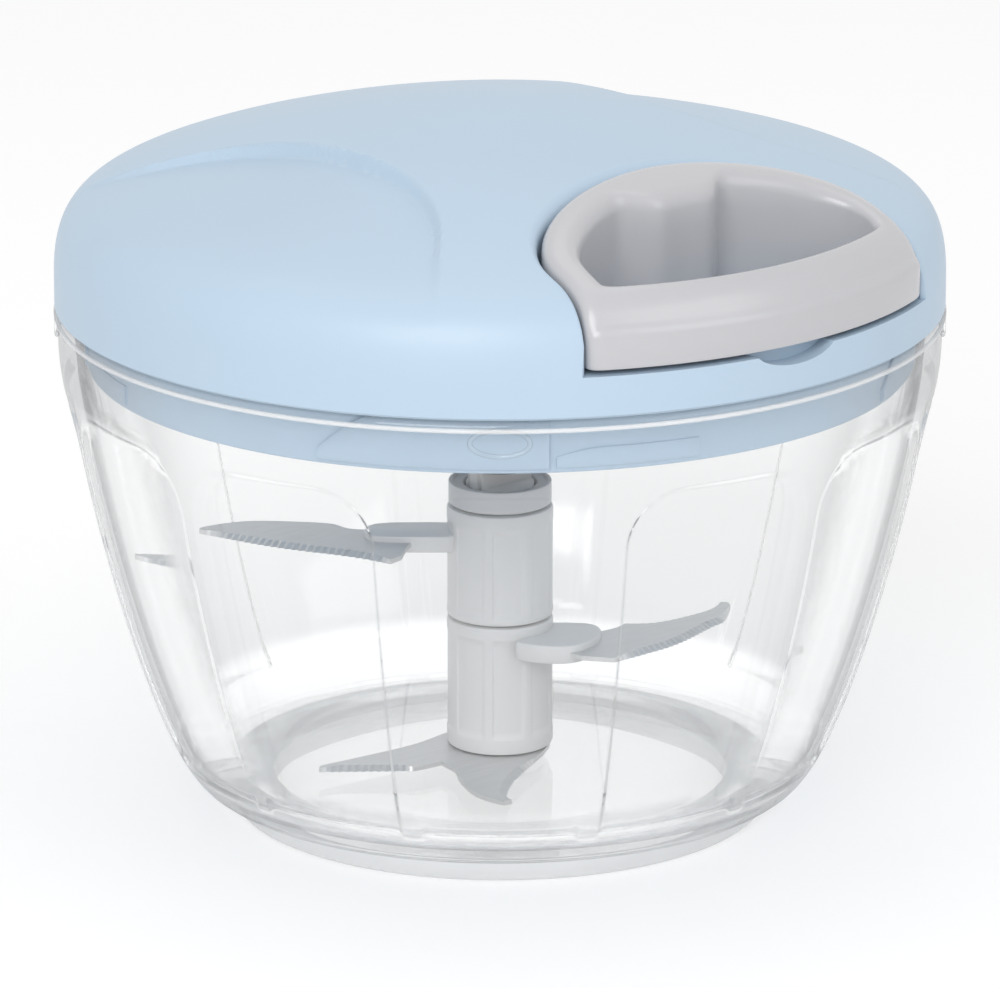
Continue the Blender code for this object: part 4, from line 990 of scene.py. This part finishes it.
def skirt_relief(name, turn, start, end, height, top, ramp):
    """A raised area on the skirt whose first end is a curved ramp."""
    rings = []
    steps = 44
    low = SKIRT_Z + 0.7
    for step in range(steps + 1):
        share = step / steps
        rise = min(share * 3.2, 1)
        upper = top - ramp * (1 - math.sin(rise * math.pi / 2))
        phi = turn + start + (end - start) * share
        soft = 0.25
        rings.append([turn_point(SKIRT_R - 0.5, phi, low),
                      turn_point(SKIRT_R + height - soft * 0.6, phi, low),
                      turn_point(SKIRT_R + height, phi, low + soft),
                      turn_point(SKIRT_R + height, phi, upper - soft),
                      turn_point(SKIRT_R + height - soft * 0.6, phi, upper),
                      turn_point(SKIRT_R - 0.5, phi, upper)])
    return finish(name, rings_mesh(rings), "lid", "lid_light_blue", 40.0)


# Handle

HANDLE_BACK_U = 31.0
HANDLE_LOW = 83.0
HANDLE_PROUD = 1.3


def handle_paths(fine):
    back = HANDLE_BACK_U
    outer_r = LID_R - 0.15
    inner_r = outer_r - 5.9
    span = math.radians(29.2)
    corner = (outer_r * math.cos(span), outer_r * math.sin(span))
    outer = bezier((back, 0), (back, 13.5), (back + 6.3, 28.2), (corner[0] - 10.2, 29.3),
                   10 * fine)
    outer += bezier(outer[-1], (corner[0] - 6.5, 29.8), (corner[0] - 3.6, 29.6), corner,
                    3 * fine)[1:]
    inner_span = span - 0.07
    inner_corner = (inner_r * math.cos(inner_span), inner_r * math.sin(inner_span))
    inner = bezier((back + 5.2, 0), (back + 5.2, 9.5), (back + 10.0, 21.8),
                   (inner_corner[0] - 5.5, 25.1), 10 * fine)
    inner += bezier(inner[-1], (inner_corner[0] - 3.0, 26.0),
                    (inner_corner[0] - 0.7, inner_corner[1] + 0.9), inner_corner, 3 * fine)[1:]
    count = 7 * fine
    for step in range(1, count + 1):
        share = 1 - step / count
        outer.append((outer_r * math.cos(span * share), outer_r * math.sin(span * share)))
        inner.append((inner_r * math.cos(inner_span * share),
                      inner_r * math.sin(inner_span * share)))
    outer += [(u, -v) for u, v in reversed(outer[1:-1])]
    inner += [(u, -v) for u, v in reversed(inner[1:-1])]
    inner = [(u + 4.6 * float(smooth((9.5 - abs(v)) / 4.5)) * (u < back + 12), v)
             for u, v in inner]
    return soften(outer, 3), soften(inner, 6)


def soften(path, rounds):
    """Rounds the corners of a closed plan path a little."""
    points = np.array(path)
    for _ in range(rounds):
        points = points * 0.5 + (np.roll(points, 1, 0) + np.roll(points, -1, 0)) * 0.25
    return [tuple(p) for p in points]


def handle_top(u, v):
    return float(dome_height(min(math.hypot(u, v), LID_R - 1.2))) + HANDLE_PROUD


def make_handle():
    low = HANDLE_LOW
    rings = []
    for (u0, v0), (u1, v1) in zip(*handle_paths(4)):
        width = math.hypot(u1 - u0, v1 - v0)

        def at(across, z):
            share = across / width
            return (v0 + (v1 - v0) * share, -(u0 + (u1 - u0) * share), z)

        def top(across):
            share = across / width
            return handle_top(u0 + (u1 - u0) * share, v0 + (v1 - v0) * share)

        r = min(2.3, width * 0.4)
        ring = [at(0.6, low), at(0.15, low + 0.15), at(0, low + 0.6),
                at(0, (low + 0.6 + top(0) - r) / 2)]
        for sine, cosine in quarter(7):
            across = r * (1 - cosine)
            ring.append(at(across, top(across) - r * (1 - sine)))
        ring.append(at(width / 2, top(width / 2) + 0.02))
        for sine, cosine in quarter(7):
            across = width - r * (1 - sine)
            ring.append(at(across, top(across) - r * (1 - cosine)))
        ring += [at(width, (low + 2.0 + top(width) - r) / 2), at(width, low + 0.5),
                 at(width - 0.15, low + 0.15), at(width - 0.6, low)]
        rings.append(ring)
    handle = work("handle_loop", rings_mesh(rings, around=True))
    keep(handle, "handle", "handle_gray", 42.0, ("pull_handle",))


def make_cord():
    """The short stretch of cord between the lid and the handle, as a fixed tube."""
    stations = np.concatenate([[-27.5, -28.2], np.linspace(-28.6, -31.0, 24), [-31.6, -36.4]])
    cord = finish("cord_stretch", rings_mesh([cord_ring(CORD_R, y, 16) for y in stations]), None,
                  "cord_white", 60.0)
    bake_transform(cord)


# Column and blades

SLEEVE_R = 7.85
BORE_R = 5.35
BLADE_THICK = 0.00069


def panelled(low, high, bottom, top):
    """A sleeve whose side has shallow upright panels between two heights."""
    count = 192
    heights = [(low, 0.5), (low + 0.13, 0.16), (low + 0.5, 0.0), (bottom - 0.35, 0.0),
               (bottom - 0.1, 0.0), (bottom + 0.2, 1.0), (bottom + 1.0, 1.0),
               ((bottom + top) / 2, 1.0), (top - 1.0, 1.0), (top - 0.2, 1.0),
               (top + 0.1, 0.0), (top + 0.35, 0.0), (high - 0.5, 0.0), (high - 0.13, 0.16),
               (high, 0.5)]
    rings = []
    for z, amount in heights:
        ring = []
        for step in range(count):
            phi = 360 * step / count
            part = abs(((phi + 8) / 45 % 1) - 0.5)
            inset = 0.22 * float(smooth(np.array((0.40 - part) / 0.035)))
            edge = z < low + 0.4 or z > high - 0.4
            radius = SLEEVE_R - (amount if edge else inset * amount)
            ring.append(turn_point(radius, phi, z))
        rings.append(ring)
    for z in (high, low):
        rings.append([turn_point(BORE_R, 360 * step / count, z) for step in range(count)])
    return rings_mesh(rings, around=True)


def eased(points, rounds=3):
    """Cuts the corners of a closed outline, so that it turns softly."""
    for _ in range(rounds):
        made = []
        for (ax, ay), (bx, by) in zip(points, points[1:] + points[:1]):
            made.append((ax * 0.75 + bx * 0.25, ay * 0.75 + by * 0.25))
            made.append((ax * 0.25 + bx * 0.75, ay * 0.25 + by * 0.75))
        points = made
    return points


def arm(name, direction, outline, middle, half):
    """A flat arm with rounded edges, clear of the sleeve's bore."""
    points = np.array(in_plan(direction, eased(outline)))
    side = left_of(points)
    rings = []
    for z, shrink in ((-half, 0.45), (-half + 0.13, 0.13), (-half + 0.45, 0.0),
                      (half - 0.45, 0.0), (half - 0.13, 0.13), (half, 0.45)):
        rings.append([(x, y, middle + z) for x, y in points + side * shrink])
    return work(name, rings_mesh(rings))


MIDDLE_ARM = [(3.0, -7.4), (1.9, -8.6), (6.1, -10.9), (10.9, -10.9), (13.7, -7.6),
              (15.2, -3.5), (14.6, -0.6), (12.8, 0.9), (6.2, 1.2), (5.6, -2.0)]
UPPER_ARM = [(6.0, -3.2), (12.0, -3.2), (17.5, -3.0), (19.6, -1.6), (20.2, 1.0), (19.2, 3.6),
             (17.0, 4.5), (12.0, 4.6), (6.0, 4.6), (6.4, 1.0)]


def make_column():
    for name, node, part, direction, outline, middle, half, under, over in (
            ("lower_sleeve", "holder_lower_sleeve", "middle_arm", -40, MIDDLE_ARM, 25.0, 1.45,
             2.6, 2.0),
            ("upper_sleeve", "holder_upper_sleeve", "upper_arm", 140, UPPER_ARM, 40.0, 1.3,
             1.2, 2.2)):
        low, high = (corner.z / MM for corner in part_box(node))
        sleeve = work(name, panelled(low, high, low + under, high - over))
        carve(sleeve, arm(part, direction, outline, middle, half), "UNION")
        keep(sleeve, "blades", "column_light_gray", 38.0, (node,))
    low, high = (corner.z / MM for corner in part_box("holder_top_cap"))
    profile = [(BORE_R, low), (7.6, low), (7.6, high), (7.05, high), (6.9, high - 0.35),
               (BORE_R, high - 0.35)]
    spun("column_cap", rounded(profile, 0.45, 5), "blades", "cap_gray", 96,
         replaces=("holder_top_cap",))


def blade_tree():
    """Grows a blade from its outline: small teeth on its cutting edges and a ground bevel."""
    maker, start, end, ids = node_group("ground_blade", {
        "Tooth pitch": 0.0012, "Tooth depth": 0.0005, "Thickness": 0.0007, "Bevel": 0.001,
        "Height": 0.0, "Finish": None})
    curve = maker.node("GeometryNodeMeshToCurve", {"Mesh": start["Geometry"]})["Curve"]
    curve = maker.node("GeometryNodeResampleCurve",
                       {"Curve": curve, "Length": 0.0002}, mode="LENGTH")["Curve"]
    cutting = maker.attribute("cutting")
    along = maker.node("GeometryNodeInputTangent")["Tangent"]
    outward = maker.vector("CROSS_PRODUCT", along, (0, 0, 1))
    length = maker.node("GeometryNodeSplineParameter")["Length"]
    tooth = abs((length / start["Tooth pitch"]).fraction() - 0.5) * 2.0
    move = maker.scaled(outward, (tooth - 1.0) * start["Tooth depth"] * cutting)
    inward = maker.scaled(outward, start["Bevel"] * cutting * -1.0)
    lift = maker.upright(start["Thickness"])
    rise = maker.vector("ADD", inward, lift)
    kept = maker.tree.nodes.new("GeometryNodeCaptureAttribute")
    kept.capture_items.new("VECTOR", "Rise")
    maker.tree.links.new(curve.socket, kept.inputs["Geometry"])
    maker.tree.links.new(rise.socket, kept.inputs["Rise"])
    kept = Outputs(maker, kept)
    lower = maker.moved(kept["Geometry"], move)
    upper = maker.moved(lower, kept["Rise"])
    band = maker.node("GeometryNodeCurveToMesh", {"Curve": lower})["Mesh"]
    wall = maker.node("GeometryNodeExtrudeMesh", {"Mesh": band, "Offset Scale": 0.0},
                      mode="EDGES")
    pieces = [maker.moved(wall["Mesh"], kept["Rise"], Selection=wall["Top"])]
    for shape, height in ((lower, (0, 0, 0)), (upper, lift)):
        flat = maker.node("GeometryNodeFillCurve", {"Curve": shape}, mode="NGONS")["Mesh"]
        pieces.append(maker.turned(flat, Translation=height))
    joined = maker.tree.nodes.new("GeometryNodeJoinGeometry")
    for piece in pieces:
        maker.tree.links.new(piece.socket, joined.inputs["Geometry"])
    whole = maker.node("GeometryNodeMergeByDistance", {
        "Geometry": Outputs(maker, joined)["Geometry"], "Distance": 0.000004})
    high = maker.upright(start["Height"])
    close_tree(maker, start, end, maker.turned(whole["Geometry"], Translation=high))
    return maker.tree, ids


UPPER_BLADE = ([(8.2, -2.2), (21.0, -2.3), (25.0, -5.2), (31.0, -6.3), (36.8, -6.6),
                (41.5, -5.0), (44.2, -3.2)],
               [(44.4, -2.3), (33.7, 4.5), (21.9, 9.6), (16.0, 13.1)],
               [(14.4, 11.0), (13.4, 5.6), (12.0, 3.6), (8.2, 3.4)])
MIDDLE_BLADE = ([(8.2, -8.6), (12.0, -12.2)],
                [(16.7, -13.2), (21.3, -9.5), (26.4, -4.4), (31.7, 4.0), (33.5, 6.6),
                 (34.4, 12.5)],
                [(34.1, 14.2)], [(32.9, 14.4), (29.2, 10.1), (24.1, 6.1), (18.6, 3.7)],
                [(17.2, 1.6), (14.0, -0.4), (8.2, -0.4)])
LOWER_BLADE = ([turn_point(7.4, 70 + 130 * step / 8, 0)[:2] for step in range(9)]
               + [(-5.6, -6.4), (1.5, -12.6), (7.0, -19.8), (11.6, -26.4)],
               [(12.8, -26.6), (12.6, -19.0), (12.3, -12.6)],
               [(9.6, -8.6), (13.0, -6.6), (16.8, -6.0), (20.4, -5.0), (23.4, -3.8),
                (26.1, -1.7), (27.9, 0.6)],
               [(27.1, 1.8), (23.4, 1.2), (17.7, 2.1), (13.9, 3.3), (8.0, 5.2)],
               [(5.2, 6.3)])


def smoothed(points, detail=6):
    """Points of a soft curve through the given ones, with its ends kept."""
    if len(points) < 3:
        return points
    padded = [points[0], *points, points[-1]]
    made = []
    for a, b, c, d in zip(padded, padded[1:], padded[2:], padded[3:]):
        for step in range(detail):
            t = step / detail
            made.append(tuple(0.5 * (2 * q + (r - o) * t + (2 * o - 5 * q + 4 * r - w) * t * t
                                     + (3 * q - o - 3 * r + w) * t ** 3)
                              for o, q, r, w in zip(a, b, c, d)))
    return made + [points[-1]]


def make_blade(name, node, direction, runs, hole=False):
    """A blade of plain and cutting runs in turn, at its node's height."""
    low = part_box(node)[0].z / MM
    points = []
    cutting = []
    for index, run in enumerate(runs):
        soft = smoothed(run)
        points += soft
        for step in range(len(soft)):
            share = step / max(len(soft) - 1, 1)
            cutting.append(index % 2 * min(1.0, 5.0 * min(share, 1 - share)))
    plan = in_plan(direction, points)
    around = sum(ax * by - bx * ay for (ax, ay), (bx, by) in zip(plan, plan[1:] + plan[:1]))
    if around < 0:
        plan.reverse()
        cutting.reverse()
    bm = bmesh.new()
    corners = [bm.verts.new((x * MM, y * MM, 0)) for x, y in plan]
    for one, two in zip(corners, corners[1:] + corners[:1]):
        bm.edges.new((one, two))
    start = placed(name + "_start", mesh_of(name, bm))
    mark_points(start.data, "cutting", cutting)
    tree, ids = blade_tree()
    grow(start, tree, ids, {
        "Tooth pitch": sizes().tooth_pitch, "Tooth depth": sizes().tooth_depth,
        "Thickness": BLADE_THICK, "Bevel": sizes().grind, "Height": low * MM,
        "Finish": FINISHES["blade_steel"]})
    bm = bmesh.new()
    bm.from_mesh(start.data)
    bmesh.ops.recalc_face_normals(bm, faces=bm.faces)
    bm.to_mesh(start.data)
    bm.free()
    if hole:
        ring = [[turn_point(5.3, 5 * step, z) for step in range(72)]
                for z in (low - 1, low + 2)]
        carve(start, work(name + "_hole", rings_mesh(ring)))
    keep(start, "blades", "blade_steel", 30.0, (node,))


class CHOPPER_OT_column(bpy.types.Operator):
    """Builds the blade column's sleeves, arms and cap"""
    bl_idname = "chopper.column"
    bl_label = "Blade column"

    def execute(self, context):
        make_column()
        return {"FINISHED"}


class CHOPPER_OT_blades(bpy.types.Operator):
    """Builds the three serrated blades"""
    bl_idname = "chopper.blades"
    bl_label = "Blades"

    def execute(self, context):
        make_blade("upper_cutter", "upper_blade", 140, UPPER_BLADE)
        make_blade("middle_cutter", "middle_blade", -40, MIDDLE_BLADE)
        make_blade("lower_cutter", "lower_blade", -130, LOWER_BLADE, hole=True)
        return {"FINISHED"}


class CHOPPER_OT_finishes(bpy.types.Operator):
    """Makes the materials of every slot"""
    bl_idname = "chopper.finishes"
    bl_label = "Finishes"

    def execute(self, context):
        make_finishes()
        return {"FINISHED"}


class CHOPPER_OT_clear_bowl(bpy.types.Operator):
    """Builds the fluted clear bowl, the beads of its rim, a white ring painted as the rim's
    highlight, and its soft foot
    """
    bl_idname = "chopper.clear_bowl"
    bl_label = "Clear bowl"

    def execute(self, context):
        make_bowl()
        make_lug_rings()
        make_rim_painted_highlight()
        foot = [(33.7, 3.9), (40.7, 3.9), (40.2, 2.4), (39.3, 0.0), (34.4, 0.0), (33.7, 0.7)]
        spun("soft_foot", rounded(foot, 0.5, 4), "bowl", "foot_translucent_white", 200,
             replaces=("foot_ring",))
        return {"FINISHED"}


class CHOPPER_OT_lid(bpy.types.Operator):
    """Builds the domed lid with its scoops, recess, plug and bayonet"""
    bl_idname = "chopper.lid"
    bl_label = "Lid"

    def execute(self, context):
        make_cover()
        make_base()
        make_screws()
        return {"FINISHED"}


class CHOPPER_OT_handle(bpy.types.Operator):
    """Builds the pull handle and the cord behind it"""
    bl_idname = "chopper.handle"
    bl_label = "Handle and cord"

    def execute(self, context):
        make_handle()
        make_cord()
        return {"FINISHED"}


class CHOPPER_OT_kept_pieces(bpy.types.Operator):
    """Gives every carried-over piece its finish"""
    bl_idname = "chopper.kept_pieces"
    bl_label = "Kept pieces"

    def execute(self, context):
        for name, node in frame["nodes"].items():
            node.data.materials.clear()
            node.data.materials.append(FINISHES[SLOTS[name]])
        return {"FINISHED"}


FLOOR_REACH = 6.0
FLOOR_DROP = -0.00005
LAMP_AIM = (0, 0, 0.05)
CAMERA_AIM = (0, 0, 0.04645)
INNER_NODES = (
    "pivot_pin", "seal_ring", "spindle_bush", "reel_post", "pull_cord_lead", "cord_stopper",
    "reel_drum", "reel_cover", "recoil_spring", "pull_cord_winding", "ratchet_pawl_a",
    "ratchet_pawl_b", "drive_spindle", "ratchet_cup", "drive_screw", "holder_core")


class CHOPPER_OT_inner_works(bpy.types.Operator):
    """Stands a merged, smooth copy in for each piece of the inner works"""
    bl_idname = "chopper.inner_works"
    bl_label = "Inner works"

    def execute(self, context):
        bodies = frame["record"]["behaviour"]["bodies"]
        rides_on = {node: body for body, nodes in bodies.items() for node in nodes}
        for name in INNER_NODES:
            bm = bmesh.new()
            bm.from_mesh(frame["nodes"][name].data)
            bmesh.ops.remove_doubles(bm, verts=bm.verts, dist=1e-6)
            own(name + "_fine", mesh_of(name + "_fine", bm), rides_on[name], SLOTS[name], 32.0,
                (name,))
        return {"FINISHED"}


def make_floor():
    made, nodes = surface("pale_floor")
    plain = nodes.node("ShaderNodeBsdfDiffuse", {"Color": (*colours().floor, 1.0)})
    white = nodes.node("ShaderNodeEmission", {"Color": (1, 1, 1, 1), "Strength": 1.15})
    path = nodes.node("ShaderNodeLightPath")
    share = path["Is Camera Ray"] * 0.32 + path["Is Glossy Ray"] * 0.4
    share = share.maximum(path["Is Transmission Ray"])
    close(nodes, nodes.mix(share, plain["BSDF"], white["Emission"]))
    mesh = bpy.data.meshes.new("floor")
    mesh.from_pydata([(x * FLOOR_REACH, y * FLOOR_REACH, FLOOR_DROP)
                      for x, y in ((-1, -1), (1, -1), (1, 1), (-1, 1))], [], [(0, 1, 2, 3)])
    mesh.materials.append(made)
    floor = placed("floor", mesh)


def make_world(scene):
    """Soft light for the object, and white where the camera or a reflection looks."""
    scene.world = bpy.data.worlds.new("studio")
    scene.world.use_nodes = True
    scene.world.node_tree.nodes.clear()
    nodes = Nodes(scene.world.node_tree)
    path = nodes.node("ShaderNodeLightPath")
    seen = path["Is Camera Ray"].maximum(path["Is Glossy Ray"])
    seen = seen.maximum(path["Is Transmission Ray"])
    soft, white = (nodes.node("ShaderNodeBackground", {
        "Color": (1, 1, 1, 1), "Strength": strength})["Background"]
        for strength in (0.66, 1.0))
    close(nodes, nodes.mix(seen, soft, white), "ShaderNodeOutputWorld")


def make_lamps():
    for name, place, size, power in (
            ("key_lamp", (-0.95, -0.65, 0.75), 0.7, 7.8),
            ("fill_lamp", (0.30, -1.1, 0.75), 0.8, 2.5),
            ("top_lamp", (0.1, 0.3, 1.1), 0.9, 1.5)):
        data = bpy.data.lights.new(name, "AREA")
        data.size = size
        data.energy = power
        lamp = placed(name, data)
        lamp.location = place
        aim = Vector(LAMP_AIM) - Vector(place)
        lamp.rotation_euler = aim.to_track_quat("-Z", "Y").to_euler()


def make_camera(scene):
    choice = sizes()
    data = bpy.data.cameras.new("camera")
    data.lens = choice.view_lens
    data.sensor_width = 36.0
    data.clip_start = 0.05
    camera = placed("camera", data)
    turn = choice.view_turn
    pitch = choice.view_pitch
    away = Vector((math.sin(turn) * math.cos(pitch), -math.cos(turn) * math.cos(pitch),
                   math.sin(pitch)))
    camera.location = Vector(CAMERA_AIM) + away * choice.view_distance
    camera.rotation_euler = (-away).to_track_quat("-Z", "Y").to_euler()
    scene.camera = camera


class CHOPPER_OT_stage(bpy.types.Operator):
    """Makes the floor, the lamps, the world and the camera"""
    bl_idname = "chopper.stage"
    bl_label = "Stage"

    def execute(self, context):
        context.scene.view_settings.view_transform = "Standard"
        make_floor()
        make_world(context.scene)
        make_lamps()
        make_camera(context.scene)
        return {"FINISHED"}


class CHOPPER_PT_panel(bpy.types.Panel):
    """Lists the steps that build the chopper"""
    bl_idname = "CHOPPER_PT_panel"
    bl_label = "Food chopper"
    bl_space_type = "VIEW_3D"
    bl_region_type = "UI"
    bl_category = "Chopper"

    def draw(self, context):
        for step in STEPS:
            self.layout.operator(step.bl_idname)
        for group in (context.scene.chopper_sizes, context.scene.chopper_colours):
            for name in group.__annotations__:
                self.layout.prop(group, name)


STEPS = (CHOPPER_OT_finishes, CHOPPER_OT_kept_pieces, CHOPPER_OT_clear_bowl, CHOPPER_OT_lid,
         CHOPPER_OT_handle, CHOPPER_OT_column, CHOPPER_OT_blades, CHOPPER_OT_inner_works,
         CHOPPER_OT_stage)
CLASSES = (ChopperSizes, ChopperColours) + STEPS + (CHOPPER_PT_panel,)


def register():
    for cls in CLASSES:
        bpy.utils.register_class(cls)
    bpy.types.Scene.chopper_sizes = PointerProperty(type=ChopperSizes)
    bpy.types.Scene.chopper_colours = PointerProperty(type=ChopperColours)


def unregister():
    del bpy.types.Scene.chopper_colours
    del bpy.types.Scene.chopper_sizes
    for cls in reversed(CLASSES):
        bpy.utils.unregister_class(cls)


def main():
    register()
    bpy.ops.chopper.finishes()
    bpy.ops.chopper.kept_pieces()
    bpy.ops.chopper.clear_bowl()
    bpy.ops.chopper.lid()
    bpy.ops.chopper.handle()
    bpy.ops.chopper.column()
    bpy.ops.chopper.blades()
    bpy.ops.chopper.inner_works()
    bpy.ops.chopper.stage()


if __name__ == "__main__":
    main()
